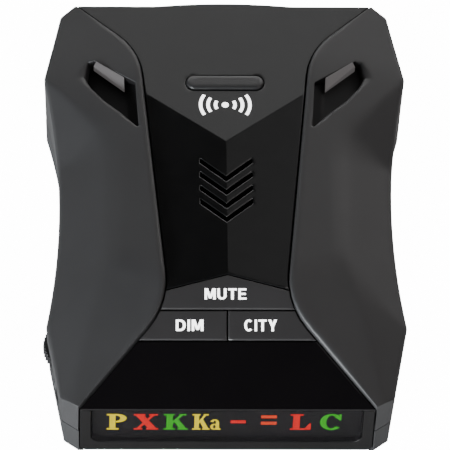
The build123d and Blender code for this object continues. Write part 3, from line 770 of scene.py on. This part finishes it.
def eye_hole():
    """The eye recess's outline in the roof: a crisp front edge, a soft rear edge, a wide soft outer one."""
    everywhere, at_rear, at_tip, at_outer = EYE_EDGES
    front_x, front_y = EYE_OUTLINE[1]
    soft = []
    for x, y, _, _ in loop_of(EYE_OUTLINE, 0, EYE_CORNER, EYE_SPACING):
        below = front_y + EYE_FRONT_SLOPE * (x - front_x) - y
        outer = fade(x, EYE_OUTER_X, EYE_OUTER_FADE) * fade(below, 0.0, EYE_CRISP)
        rear = fade(below, EYE_CRISP, EYE_FADE) * fade(x, EYE_INNER_X, EYE_INNER_FADE)
        tip = limited((EYE_REAR_Y + EYE_REAR_SLOPE * (x - EYE_REAR_X) - y) / EYE_FADE)
        width = everywhere + at_rear * rear + at_tip * tip + at_outer * outer
        soft.append((x, y, width, min(width, EYE_EDGE_DEPTH)))
    return soft


def wing_mesh():
    """Vertices and faces of the right wing as an open skin: roof, eye walls, side and seam walls."""
    side = wing_side()
    seam = seam_path(GAP / 2)
    outer = [(p.x, p.y, WING_EDGE * tip_share(p.y), WING_EDGE * tip_share(p.y)) for p, _ in side]
    outer += [(p.x, p.y, SEAM_EDGE[0] * tip_share(p.y), SEAM_EDGE[1] * tip_share(p.y)) for p in seam]
    feet = [(low.x, low.y, PARTING_Z + PARTING_GAP) for _, low in side]
    feet += [(p.x, p.y, seam_foot(p.y)) for p in seam]
    hole = eye_hole()
    vertices, faces, walls = cover_surface(outer, [hole], wing_z, 0.75, ())
    rows = [walls[0]]
    for row in range(1, WALL_ROWS + 1):
        ring = []
        for start, foot in zip(walls[0], feet):
            place = Vector(vertices[start]).lerp(Vector(foot), row / WALL_ROWS)
            ring.append(len(vertices))
            vertices.append(tuple(place))
        rows.append(ring)
    well = []
    for start in walls[1]:
        x, y, z = vertices[start]
        lean = EYE_LEAN * fade(x, EYE_OUTER_X, EYE_LEAN_FADE)
        well.append(len(vertices))
        vertices.append((x - lean, y - EYE_FRONT_SLOPE * lean, z - EYE_DEPTH - EYE_WALL_BELOW))
    rows_faces = []
    for upper, lower in zip(rows, rows[1:]):
        rows_faces += ring_faces(lower, upper)
    rows_faces += ring_faces(well, walls[1])
    return vertices, faces + rows_faces


def mirrored(vertices, faces):
    """The same mesh on the other side of the middle plane."""
    return [(-x, y, z) for x, y, z in vertices], [tuple(reversed(face)) for face in faces]


def make_wing(side_name, material):
    """One wing cover with its thickness, and on the left the openings for the wheel and the jack."""
    vertices, faces = wing_mesh()
    if side_name == "left":
        vertices, faces = mirrored(vertices, faces)
    piece = new_piece(side_name + "_wing_skin", vertices, faces, material, 50.0)
    paint_well_shade(piece)
    modifier = piece.modifiers.new("skin", "SOLIDIFY")
    modifier.thickness = WING_SKIN * MM
    modifier.offset = -1.0
    applied(piece)
    if side_name == "left":
        cut(piece, wheel_cutter())
        cut(piece, jack_cutter())
    tidy(piece, 50.0)
    return stand(weighted(piece), side_name + "_wing_cover")


def paint_well_shade(piece):
    """Paint shade on the recess's steep walls by giving them the bowl's dark material, all but its outer
    tip's.
    """
    piece.data.materials.append(EYE_DARK)
    for face in piece.data.polygons:
        x, y, z = face.center / MM
        beside = WELL_SHADE_X[0] < abs(x) < WELL_SHADE_X[1] and WELL_SHADE_Y[0] < y < WELL_SHADE_Y[1]
        if beside and z < wing_z(x, y) - WELL_SHADE_BELOW and abs(face.normal.z) < WELL_SHADE_STEEP:
            # painted shade: steep wall faces below the roof take the dark bowl material
            face.material_index = 1


def circle(middle, radius, count):
    """Points of a circle about a middle point."""
    angles = [2 * math.pi * k / count for k in range(count)]
    return [(middle[0] + radius * math.cos(a), middle[1] + radius * math.sin(a)) for a in angles]


def cutter_between(lower, upper):
    """A straight cutter between two rings of as many points."""
    numbers = list(range(len(lower)))
    beyond = [len(lower) + n for n in numbers]
    faces = [tuple(reversed(numbers)), tuple(beyond)] + ring_faces(numbers, beyond)
    return new_piece("cutter", lower + upper, faces, BASE)


def wheel_cutter():
    """An upright round cutter at the volume wheel."""
    beside, below, above = WHEEL_CLEAR
    ring = circle(WHEEL_AT, WHEEL_R + beside, 64)
    return cutter_between([(x, y, WHEEL_LOW - below) for x, y in ring],
                          [(x, y, WHEEL_HIGH + above) for x, y in ring])


def jack_cutter():
    """A round cutter along X at the power jack."""
    low, high = box_mm("power_jack")
    ring = circle(JACK_AT, JACK_HOLE_R, 48)
    return cutter_between([(low.x - JACK_CUT, *p) for p in ring], [(high.x + JACK_CUT, *p) for p in ring])


# ---- eyes ----
BOWL_RIM = 0.9              # depth of the bowl at the head of its slanted side
BOWL_SLANT = 0.75
BOWL_AT = (18.9, 26.0)
BOWL_TURN = 0.06
BOWL_THICK = 0.9
BOWL_FOLD = [(20.6, 27.0), (20.9, 16.0)]


def crest_z(x, y):
    """The wing's crest plane, which the eye recess follows."""
    return facet_z(WING_FACETS[0], abs(x), y)


def bowl_z(x, y):
    """Height of an eye's bowl: a flat floor with a slanted inner side."""
    along = x - BOWL_AT[0] + BOWL_TURN * (BOWL_AT[1] - y)
    return max(crest_z(x, y) - EYE_DEPTH, crest_z(x, y) - BOWL_RIM - BOWL_SLANT * along)


def bowl_underside(x, y):
    """Height of the bowl's underside."""
    return crest_z(x, y) - EYE_DEPTH - BOWL_THICK


def make_eye_floor(side_name, material):
    """The dark bowl of an eye, with all but square edges."""
    loop = loop_of(EYE_OUTLINE, 0.01, EYE_CORNER, EYE_SPACING)
    fold = [Vector(p) for p in BOWL_FOLD]
    vertices, faces = plate(loop, [], bowl_z, bowl_underside, 0.8, [fold])
    if side_name == "left":
        vertices, faces = mirrored(vertices, faces)
    piece = new_piece(side_name + "_eye_bowl", vertices, faces, material, 25.0)
    return belong(piece, side_name + "_wing_cover")


# ---- centre ----
CENTRE_EDGE = 0.35
ROOF_THICK = 2.0
VEE_RISE = RIDGE_SLOPE / REAR_SLOPE
KEY_EDGE = 0.32
KEY_THICK = 2.3
CREASE = 0.16
BROW_OUT = 0.8
CENTRE_END_Y = FRONT_Y - 0.02
FOLD_END_X = 17.2           # the folds beside the front facet run past the seam, to here
RELEASE_AT = (0.0, 26.5)
RELEASE_SIZE = (16.7, 3.8)
RELEASE_RIM = 0.25          # edge radius of the button's opening
RELEASE_PROUD = 0.7
RELEASE_EDGE = 0.75
RELEASE_DEEP = 3.7
CHEVRON_EDGE = 0.22
CHEVRON_CORNER = 0.12
SLOT_STEPS = 16
HOOD_EDGE = (0.3, 0.1)        # edge radius along the keys and at the display
HOOD_REAR_Y = -48.98
HOOD_FOOT_Z = 17.08
HOOD_STEP_Y = -46.6
HOOD_STEP_X = 27.0


def right_seam_x(y):
    """X of the centre's edge at a Y, on the right."""
    path = seam_path(-GAP / 2)
    for a, b in zip(path, path[1:]):
        if min(a.y, b.y) <= y <= max(a.y, b.y) and a.y != b.y:
            return a.x + (b.x - a.x) * (y - a.y) / (b.y - a.y)
    raise ValueError("no seam at that Y")


def seam_between(rear_y, front_y):
    """The centre's right edge from one Y forward to another."""
    points = [(right_seam_x(rear_y), rear_y)]
    points += [(p.x, p.y) for p in reversed(seam_path(-GAP / 2)) if rear_y + 0.3 < p.y < front_y - 0.3]
    return points + [(right_seam_x(front_y), front_y)]


def run_between(start, end, spacing=1.4):
    """Points strictly between two plan points."""
    a, b = Vector(start), Vector(end)
    return [tuple(p) for p in divided([a, b], divisions([a, b], spacing))][1:-1]


def across(points):
    """The same plan points on the other side of the middle plane, in reverse order."""
    return [(-x, y) for x, y in reversed(points)]


def vee_y(x, shift):
    """The swept line where the ridge meets the rear slope, moved forward by a shift."""
    return APEX_Y + shift - VEE_RISE * abs(x)


def vee_end(shift):
    """Where the swept line meets the right seam."""
    x = 12.5
    for _ in range(6):
        x = right_seam_x(vee_y(x, shift))
    return x, vee_y(x, shift)


def make_centre(material):
    """The ridged centre cover with its sound slots and the release opening."""
    front_x = right_seam_x(CENTRE_END_Y)
    rear = vee_end(GAP / 2)
    right = seam_between(rear[1], CENTRE_END_Y)
    front = []
    for x, _ in run_between((front_x, FRONT_Y), (0, FRONT_Y)):
        front.append((x, FRONT_Y + BROW_OUT * max(0.0, 1 - (x / BROW_HALF) ** 2)))
    front.append((0, FRONT_Y + BROW_OUT))
    half = right + front
    rear_line = [(x, vee_y(x, GAP / 2)) for x, _ in run_between(rear, (0, APEX_Y))]
    plan = half + across(half[:-1])
    plan += [(-x, y) for x, y in rear_line] + [(0, APEX_Y + GAP / 2)] + list(reversed(rear_line))
    loop = [(x, y, *[CENTRE_EDGE * tip_share(y + 1.0)] * 2) for x, y in plan]
    holes = [chevron_hole(tip) for tip in CHEVRON_TIPS]
    holes.append(slot_hole(RELEASE_AT, RELEASE_SIZE[0] + GAP, RELEASE_SIZE[1] + GAP, RELEASE_RIM))
    folds = creases([(0, APEX_Y + 1), (0, VEE_Y)])
    fold_end_y = VEE_Y + FOLD_END_X * RIDGE_SLOPE / FRONT_SLOPE
    for x in (FOLD_END_X, -FOLD_END_X):
        folds += creases([(0, VEE_Y), (x, fold_end_y)])

    def underside(x, y):
        return centre_z(x, y) - ROOF_THICK

    return make_cover("centre_roof", "centre_cover", material, loop, holes, centre_z, underside, 0.85, folds)


def creases(line):
    """Three close parallel lines along a fold, so that its shading turns within a narrow strip."""
    path = [Vector(p) for p in line]
    return [shifted(path, offset) for offset in (-CREASE, 0.0, CREASE)]


def chevron_hole(tip_y):
    """One sound slot: a wide V with its point to the rear."""
    ends_y = tip_y + CHEVRON_SWEEP
    points = [(0, tip_y), (CHEVRON_HALF, ends_y), (CHEVRON_HALF, ends_y + CHEVRON_WIDTH),
              (0, tip_y + CHEVRON_WIDTH), (-CHEVRON_HALF, ends_y + CHEVRON_WIDTH), (-CHEVRON_HALF, ends_y)]
    return loop_of(points, CHEVRON_EDGE, CHEVRON_CORNER)


def slot_hole(at, length, width, edge):
    """A round-ended slot."""
    radius = width / 2
    straight = length / 2 - radius
    loop = []
    for side in (1, -1):
        for k in range(SLOT_STEPS + 1):
            angle = math.pi * (k / SLOT_STEPS - 0.5)
            x = side * (straight + radius * math.cos(angle))
            loop.append((at[0] + x, at[1] + side * radius * math.sin(angle), edge, edge))
    return loop


def release_top(x, y):
    """Height of the release button's face."""
    return front_z(y) + RELEASE_PROUD


def release_foot(x, y):
    """Height of the release button's underside."""
    return release_top(x, y) - RELEASE_DEEP


def make_release(material):
    """The pill-shaped release button, deep enough to fill its opening, with a rounded edge."""
    loop = slot_hole(RELEASE_AT, *RELEASE_SIZE, RELEASE_EDGE)
    return make_cover("release_pill", "release_button", material, loop, [], release_top, release_foot, 0.6)


def make_key(node, plan, material):
    """One key: a slab of the rear slope with rounded edges."""
    loop = [(x, y, KEY_EDGE, KEY_EDGE) for x, y in plan]

    def underside(x, y):
        return rear_z(x, y) - KEY_THICK

    return make_cover(node + "_cap", node, material, loop, [], rear_z, underside, 1.4)


def mute_plan():
    """The wide key, in front of the pair."""
    rear_y = KEY_SPLIT_Y + GAP / 2
    right = seam_between(rear_y, vee_end(-GAP / 2)[1])
    ends = [(x, vee_y(x, -GAP / 2)) for x, _ in run_between(right[-1], (0, right[-1][1]))]
    front = ends + [(0, APEX_Y - GAP / 2)]
    rear = [(x, rear_y) for x, _ in run_between((-right[0][0], rear_y), right[0])]
    return right + front + across(right + ends) + rear


def pair_plan(sign):
    """One of the pair of keys beside each other."""
    rear_y, front_y = KEY_END_Y + GAP / 2, KEY_SPLIT_Y - GAP / 2
    right = seam_between(rear_y, front_y)
    inner = [(GAP / 2, front_y), (GAP / 2, rear_y)]
    plan = right + run_between(right[-1], inner[0]) + [inner[0]] + run_between(*inner) + [inner[1]]
    plan += run_between(inner[1], right[0])
    return [(sign * x, y) for x, y in plan]


def make_hood(material):
    """The gloss hood between the keys and the display."""
    right = seam_between(HOOD_REAR_Y, KEY_END_Y - GAP / 2)
    front = run_between(right[-1], (-right[-1][0], right[-1][1]))
    rear = run_between((-right[0][0], HOOD_REAR_Y), right[0])
    plan = right + front + across(right) + rear
    loop = [(x, y, *[HOOD_EDGE[y < HOOD_STEP_Y]] * 2) for x, y in plan]

    def underside(x, y):
        return max(rear_z(x, y) - ROOF_THICK, HOOD_FOOT_Z if y < HOOD_STEP_Y else 0.0)

    step = [Vector((-HOOD_STEP_X, HOOD_STEP_Y)), Vector((HOOD_STEP_X, HOOD_STEP_Y))]
    return make_cover("hood_roof", "display_hood", material, loop, [], rear_z, underside, 1.3, [step])


# ---- legends ----
PRINT_THICK = 0.04
PRINT_SUNK = 0.005
SLOPE_ANGLE = math.atan(REAR_SLOPE)
KEY_WORDS = [
    ("mute_key", "MUTE", -0.45, -27.0, 8.8, 2.35),
    ("dim_key", "DIM", -8.0, -33.0, 5.8, 2.4),
    ("city_key", "CITY", 6.95, -33.0, 6.9, 2.45),
]
EMBLEM_Y = 20.3
EMBLEM_DOT = 0.75
EMBLEM_ARCS = (2.1, 3.7, 5.3)
ARC_HALF = 0.36
ARC_REACH = 32              # degrees to each side of an arc's middle


def printed(name, polygons, place, material, node):
    """Flat polygons, merged where they overlap, as a thin print laid where a matrix says."""
    points, faces = [], []
    for polygon in polygons:
        faces.append(list(range(len(points), len(points) + len(polygon))))
        points.extend(Vector(p) for p in turning(polygon, False))
    flat, _, every, _, _, within = geometry.delaunay_2d_cdt(points, [], faces, 0, 1e-5)
    triangles = [triangle for triangle, sources in zip(every, within) if sources]
    work = bmesh.new()
    corners = [work.verts.new((p.x, p.y, 0)) for p in flat]
    for triangle in triangles:
        work.faces.new([corners[v] for v in triangle])
    raised = bmesh.ops.extrude_face_region(work, geom=work.faces[:])
    top = [v for v in raised["geom"] if isinstance(v, bmesh.types.BMVert)]
    bmesh.ops.translate(work, vec=(0, 0, PRINT_THICK), verts=top)
    bmesh.ops.recalc_face_normals(work, faces=work.faces)
    work.transform(Matrix.Scale(MM, 4) @ place)
    mesh = bpy.data.meshes.new(name)
    work.to_mesh(mesh)
    work.free()
    mesh.materials.append(material)
    piece = add_object(name, mesh)
    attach(piece, BODY_OF[node])
    return piece


def capital(sign):
    """The width and the polygons of one plain bold capital of unit height."""
    stem = 0.18
    return {
        "M": (0.86, [bar(0, 0, stem, 1), bar(0.66, 0, 0.86, 1),
                     [(0.0, 1), (0.26, 1), (0.52, 0.10), (0.34, 0.10)],
                     [(0.86, 1), (0.60, 1), (0.34, 0.10), (0.52, 0.10)]]),
        "U": (0.70, [bar(0, 0.33, stem, 1), bar(0.50, 0.33, 0.70, 1)]
              + bow(0.35, 0.34, (0.35, 0.34), (0.15, 0.17), 180, 360)),
        "T": (0.66, [bar(0.23, 0, 0.43, 1), bar(0, 0.83, 0.66, 1)]),
        "E": (0.62, [bar(0, 0, stem, 1), bar(0, 0.83, 0.61, 1),
                     bar(0, 0.42, 0.56, 0.59), bar(0, 0, 0.62, 0.17)]),
        "D": (0.72, [bar(0, 0, stem, 1), bar(0, 0.83, 0.33, 1),
                     bar(0, 0, 0.33, 0.17)]
              + bow(0.32, 0.5, (0.40, 0.5), (0.20, 0.33), -90, 90)),
        "I": (stem, [bar(0, 0, stem, 1)]),
        "C": (0.72, bow(0.37, 0.5, (0.37, 0.51), (0.17, 0.34), 48, 312, 24)),
        "Y": (0.72, [bar(0.26, 0, 0.46, 0.44), [(0, 1), (0.23, 1), (0.46, 0.42), (0.26, 0.38)],
                     [(0.72, 1), (0.49, 1), (0.26, 0.42), (0.46, 0.38)]]),
    }[sign]


def word_polygons(text, width, height):
    """A generic word in plain bold capitals, fitted to a width and height about its middle."""
    space = 0.13
    full = sum(capital(sign)[0] + space for sign in text) - space
    polygons = []
    at = 0.0
    for sign in text:
        wide, shapes = capital(sign)
        for shape in shapes:
            polygons.append([((px + at) / full * width - width / 2, (py - 0.5) * height)
                             for px, py in shape])
        at += wide + space
    return polygons


def on_slope(x, y):
    """Placement flat on the rear slope, with its up direction towards the front."""
    lift = Matrix.Translation((x, y, rear_z(x, y) - PRINT_SUNK))
    return lift @ Matrix.Rotation(SLOPE_ANGLE, 4, "X")


def make_key_legends(material):
    """The three function words, one on each key."""
    for node, text, x, y, width, height in KEY_WORDS:
        polygons = word_polygons(text, width, height)
        printed(node + "_print", polygons, on_slope(x, y), material, node)


def bar(x0, y0, x1, y1):
    """A straight bar of a sign, from two corners."""
    return [(x0, y0), (x1, y0), (x1, y1), (x0, y1)]


def bow(x, y, outer, inner, start, end, steps=16):
    """A bent stroke between two ellipses, from one angle to another, as quads."""
    quads = []
    for k in range(steps):
        a, b = (math.radians(start + (end - start) * t / steps) for t in (k, k + 1))
        quads.append([(x + r[0] * math.cos(t), y + r[1] * math.sin(t))
                      for r, t in ((inner, a), (outer, a), (outer, b), (inner, b))])
    return quads


def band_glyphs():
    """Bold slab-seriffed band signs, each on a unit square."""
    return {
        "p": [bar(0.14, 0, 0.44, 1), bar(0, 0, 0.60, 0.09), bar(0, 0.91, 0.5, 1)]
        + bow(0.46, 0.73, (0.54, 0.27), (0.22, 0.18), -90, 90),
        "x": [
            [(0.06, 0.95), (0.40, 0.95), (0.96, 0.05), (0.62, 0.05)],
            [(0.10, 0.05), (0.23, 0.05), (0.88, 0.95), (0.75, 0.95)],
            bar(0, 0.91, 0.48, 1), bar(0.63, 0.91, 1.0, 1), bar(0, 0, 0.36, 0.09),
            bar(0.52, 0, 1.02, 0.09),
        ],
        "k": [
            bar(0.13, 0, 0.41, 1), bar(0, 0, 0.52, 0.08), bar(0, 0.92, 0.49, 1),
            [(0.38, 0.35), (0.88, 0.96), (0.74, 0.96), (0.38, 0.52)],
            [(0.44, 0.55), (0.72, 0.04), (1.02, 0.04), (0.60, 0.76)],
            bar(0.68, 0.92, 1.0, 1), bar(0.62, 0, 1.08, 0.08),
        ],
        "a": bow(0.40, 0.28, (0.40, 0.28), (0.13, 0.18), 0, 360, 24) + [bar(0.55, 0, 0.85, 0.66)]
        + bow(0.42, 0.66, (0.43, 0.34), (0.13, 0.23), 0, 160) + [bar(0.80, 0, 1.0, 0.12)],
        "one": [bar(0, 0.42, 1, 0.60)],
        "two": [bar(0, 0.33, 1, 0.51), bar(0, 0.74, 1, 0.92)],
        "l": [bar(0.14, 0, 0.46, 1), bar(0, 0.91, 0.62, 1), bar(0, 0, 1, 0.09),
              [(0.70, 0.05), (1, 0.05), (1, 0.40), (0.93, 0.40)]],
        "c": bow(0.52, 0.5, (0.52, 0.52), (0.24, 0.42), 42, 318, 28)
        + [bar(0.84, 0.62, 0.95, 1.0), [(0.66, 0.80), (0.90, 0.62), (0.90, 0.95)]],
    }


SIGN_FOOT = 7.1
# each sign with its left and right edge, its top and its colour
BAND_SIGNS = [
    ("p", -25.4, -21.2, 13.6, "yellow"),
    ("x", -19.7, -14.6, 13.6, "red"),
    ("k", -13.4, -8.6, 13.6, "green"),
    ("k", -7.3, -3.9, 13.6, "yellow"),
    ("a", -3.5, -1.3, 11.4, "yellow"),
    ("one", 0.8, 4.0, 13.6, "red"),
    ("two", 7.2, 10.5, 13.6, "orange"),
    ("l", 13.4, 17.8, 13.6, "red"),
    ("c", 19.7, 24.4, 13.6, "green"),
]
SIGN_COLOURS = {
    "yellow": (1.0, 0.78, 0.0),
    "red": (0.80, 0.015, 0.01),
    "orange": (0.85, 0.06, 0.01),
    "green": (0.03, 0.42, 0.01),
}


def make_band_signs():
    """The lit signs, printed on the film behind the window."""
    low, _ = box_mm("band_legend")
    glyphs = band_glyphs()
    inks = {name: lit_ink("sign_" + name, colour) for name, colour in SIGN_COLOURS.items()}
    upright = Matrix.Rotation(math.pi / 2, 4, "X")
    for number, (sign, left, right, top, colour) in enumerate(BAND_SIGNS):
        polygons = [[(left + px * (right - left), SIGN_FOOT + py * (top - SIGN_FOOT)) for px, py in polygon]
                    for polygon in glyphs[sign]]
        place = Matrix.Translation((0, low.y, 0)) @ upright
        printed(f"band_sign_{number}", polygons, place, inks[colour], "band_legend")


def make_emblem(material):
    """A plain emblem: a dot between three pairs of arcs."""
    polygons = bow(0, 0, (EMBLEM_DOT, EMBLEM_DOT), (0.0, 0.0), 0, 360, 24)
    for radius in EMBLEM_ARCS:
        outer, inner = radius + ARC_HALF, radius - ARC_HALF
        for facing in (0, 180):
            polygons += bow(0, 0, (outer, outer), (inner, inner), facing - ARC_REACH, facing + ARC_REACH, 20)
    lift = Matrix.Translation((0, EMBLEM_Y, front_z(EMBLEM_Y) - PRINT_SUNK))
    place = lift @ Matrix.Rotation(-math.atan(FRONT_SLOPE), 4, "X")
    printed("arc_emblem", polygons, place, material, "centre_cover")


# ---- finishes of the CAD pieces ----
def dress(material, *nodes):
    """Give shown CAD nodes a procedural material."""
    for node in nodes:
        holder = NODES[node]
        if not holder.material_slots:
            holder.data.materials.append(material)
        for place in holder.material_slots:
            place.material = material


def make_inside():
    """Materials of the pieces inside the casing."""
    board = circuit("solder_mask")
    chip = plastic("chip_epoxy", (0.02, 0.02, 0.021), 0.5, grain=5000)
    tinned = brushed("tinned_sheet", (0.62, 0.61, 0.58), 0.3)
    zinc = plastic("zinc_casting", (0.50, 0.50, 0.51), 0.42, grain=2500, depth=0.03, metallic=1.0)
    dark_steel = brushed("dark_steel", (0.22, 0.22, 0.23), 0.35)
    bright_steel = brushed("drawn_wire", (0.66, 0.66, 0.66), 0.25)
    white = plastic("white_moulding", (0.78, 0.78, 0.75), 0.45)
    black = plastic("black_moulding", (0.018, 0.018, 0.019), 0.5)
    dress(board, "main_board", "display_board")
    dress(chip, "board_components", "laser_sensor")
    dress(tinned, "shield_can", "key_switches", "volume_pot")
    dress(zinc, "horn_antenna")
    dress(dark_steel, "board_screws", "speaker_frame", "wheel_screw")
    make_spring(bright_steel)
    dress(white, "light_guide", "display_leds", "pot_shaft")
    dress(black, "mute_plunger", "dim_plunger", "city_plunger", "release_latch")
    dress(brushed("pin_brass", (0.62, 0.44, 0.16), 0.3), "board_link")
    dress(plastic("ferrite", (0.035, 0.035, 0.038), 0.6, grain=1500, depth=0.06), "speaker_magnet")
    dress(woven("cone_pulp", (0.03, 0.03, 0.03), 0.5), "speaker_cone")
    dress(woven("dust_cloth", (0.012, 0.012, 0.012), 0.35), "speaker_mesh")
    dress(plastic("legend_film", (0.008, 0.0075, 0.008), 0.4, grain=4000, depth=0.002), "band_legend")


def make_spring(material):
    """The release spring, copied into a piece with a mesh of its own."""
    piece = copy_of("release_spring", "release_coil", material)
    stand(piece, "release_spring")
    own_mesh(piece)


def make_outside():
    """The remaining outer pieces, with their edges broken."""
    laser_red = smoked("laser_red", (0.10, 0.004, 0.008), 0.75)
    window_smoke = smoked("window_smoke", (0.010, 0.009, 0.010), 0.35, 0.06, 0.12)
    for node, material, bevel in (
            ("lower_housing", BASE, 0.25), ("display_bezel", BEZEL, 0.3), ("left_alert_lens", ALERT_PAINTED_GLOW, 0.14),
            ("right_alert_lens", ALERT_PAINTED_GLOW, 0.14), ("volume_wheel", WHEEL, 0.1), ("power_jack", WHEEL, 0.12),
            ("front_panel", PANEL, 0.2), ("bracket_socket", WHEEL, 0.15), ("grip_strips", RUBBER, 0.2),
            ("rating_plate", FOIL, 0.04), ("housing_screws", SCREW, 0.12), ("laser_lens", laser_red, 0.1),
            ("display_window", window_smoke, 0.06)):
        softened(node, material, bevel)


# ---- stage, camera and lights ----
CENTRE = Vector((0.0, -1.64, 15.0)) * MM
CAMERA_DIRECTION = Vector((-0.0242, -0.530, 0.848)).normalized()
CAMERA_RIGHT = Vector((1.0, -0.0109, 0.0217))
CAMERA_DISTANCE = 1.3
FIELD = 96.65 * MM
SENSOR = 36.0
COOL = (0.93, 0.97, 1.0)
WARM = (1.0, 0.95, 0.94)
WHITE = (1.0, 1.0, 1.0)
LIGHT_AIM = Vector((0, 0, 0.01))
# each light with its power, its place, its width and height, and its colour
LIGHTS = [
    ("left_corner", 26.0, (-0.6, -0.8, 0.12), (0.4, 0.15), COOL),
    ("left_side", 0.3, (-0.85, 0.1, 0.5), (0.5, 0.3), COOL),
    ("right_low", 1.2, (0.8, -0.5, 0.3), (0.4, 0.3), WARM),
    ("right_high", 1.7, (0.5, 0.1, 1.0), (0.5, 0.5), WARM),
    ("right_back", 1.3, (0.8, 0.6, 0.45), (0.5, 0.4), WARM),
    ("back", 1.3, (0.1, 0.9, 0.72), (1.6, 0.32), WHITE),
    ("back_low", 8.0, (0.1, 1.05, 0.4), (1.6, 0.25), WHITE),
    ("back_right", 0.11, (0.34, 0.56, 0.88), (0.36, 0.36), WHITE),
]
SKY_LOW = 0.1
SKY_HIGH = 0.8
SKY_TOP = 0.06
SKY_POWER = 0.1
FLOOR_HALF = 3.0
FLOOR_GLOW = 16.0           # how far the camera sees the floor burnt out to white


def make_camera():
    """A long lens from above the display end, as a product photographer stands."""
    data = bpy.data.cameras.new("camera")
    camera = add_object("camera", data)
    right = (CAMERA_RIGHT - CAMERA_DIRECTION * CAMERA_RIGHT.dot(CAMERA_DIRECTION)).normalized()
    up = CAMERA_DIRECTION.cross(right)
    camera.matrix_world = Matrix.Translation(CENTRE + CAMERA_DIRECTION * CAMERA_DISTANCE) @ Matrix(
        (right, up, CAMERA_DIRECTION)).transposed().to_4x4()
    data.sensor_width = SENSOR
    data.lens = SENSOR * CAMERA_DISTANCE / FIELD
    data.clip_start = 0.05
    data.clip_end = 20.0
    bpy.context.scene.camera = camera


def make_light(name, power, place, size, colour):
    """An area light aimed at the object."""
    data = bpy.data.lights.new(name, "AREA")
    data.energy = power
    data.color = colour
    data.shape = "RECTANGLE"
    data.size, data.size_y = size
    light = add_object(name, data)
    light.location = place
    light.rotation_euler = (LIGHT_AIM - Vector(place)).to_track_quat("-Z", "Y").to_euler()


def make_sky():
    """A surround that is bright round the horizon and dark overhead, as in a tent with a black top."""
    world = bpy.data.worlds.new("sky")
    world.use_nodes = True
    tree = world.node_tree
    background = tree.nodes["Background"]
    place = tree.nodes.new("ShaderNodeTexCoord")
    split = tree.nodes.new("ShaderNodeSeparateXYZ")
    tree.links.new(place.outputs["Generated"], split.inputs["Vector"])
    top = (SKY_TOP, SKY_TOP, SKY_TOP, 1)
    ramp = ramp_between(tree, split.outputs["Z"], (1, 1, 1, 1), top, SKY_LOW, SKY_HIGH)
    ramp.color_ramp.interpolation = "EASE"
    tree.links.new(ramp.outputs["Color"], background.inputs["Color"])
    background.inputs["Strength"].default_value = SKY_POWER
    bpy.context.scene.world = world


def make_floor():
    """A pale floor, which the camera alone sees burnt out to white."""
    mesh = bpy.data.meshes.new("floor")
    half = FLOOR_HALF
    mesh.from_pydata([(-half, -half, 0), (half, -half, 0), (half, half, 0), (-half, half, 0)], [],
                     [(0, 1, 2, 3)])
    material, tree, shader = new_material("floor_paper")
    tint = tinted(tree, shader, object_noise(tree, 30.0), (0.90, 0.90, 0.90, 1), (0.94, 0.94, 0.94, 1))
    tree.links.new(tint, shader.inputs["Emission Color"])
    put(shader, {"Roughness": 0.9})
    path = tree.nodes.new("ShaderNodeLightPath")
    glow = tree.nodes.new("ShaderNodeMath")
    glow.operation = "MULTIPLY"
    glow.inputs[1].default_value = FLOOR_GLOW
    tree.links.new(path.outputs["Is Camera Ray"], glow.inputs[0])
    tree.links.new(glow.outputs["Value"], shader.inputs["Emission Strength"])
    mesh.materials.append(material)
    add_object("floor", mesh)


def make_stage():
    """The floor, the surround, and eight soft lights to both sides of the object and behind it."""
    make_floor()
    make_sky()
    for light in LIGHTS:
        make_light(*light)


make_camera()
make_stage()
for side_name in ("right", "left"):
    make_wing(side_name, WING)
    make_eye_floor(side_name, EYE_DARK)
make_centre(SPINE)
make_hood(HOOD)
make_key("mute_key", mute_plan(), KEY)
make_key("dim_key", pair_plan(-1), KEY)
make_key("city_key", pair_plan(1), KEY)
make_release(RELEASE)
make_key_legends(PRINT)
make_emblem(PRINT)
make_band_signs()
make_outside()
make_inside()
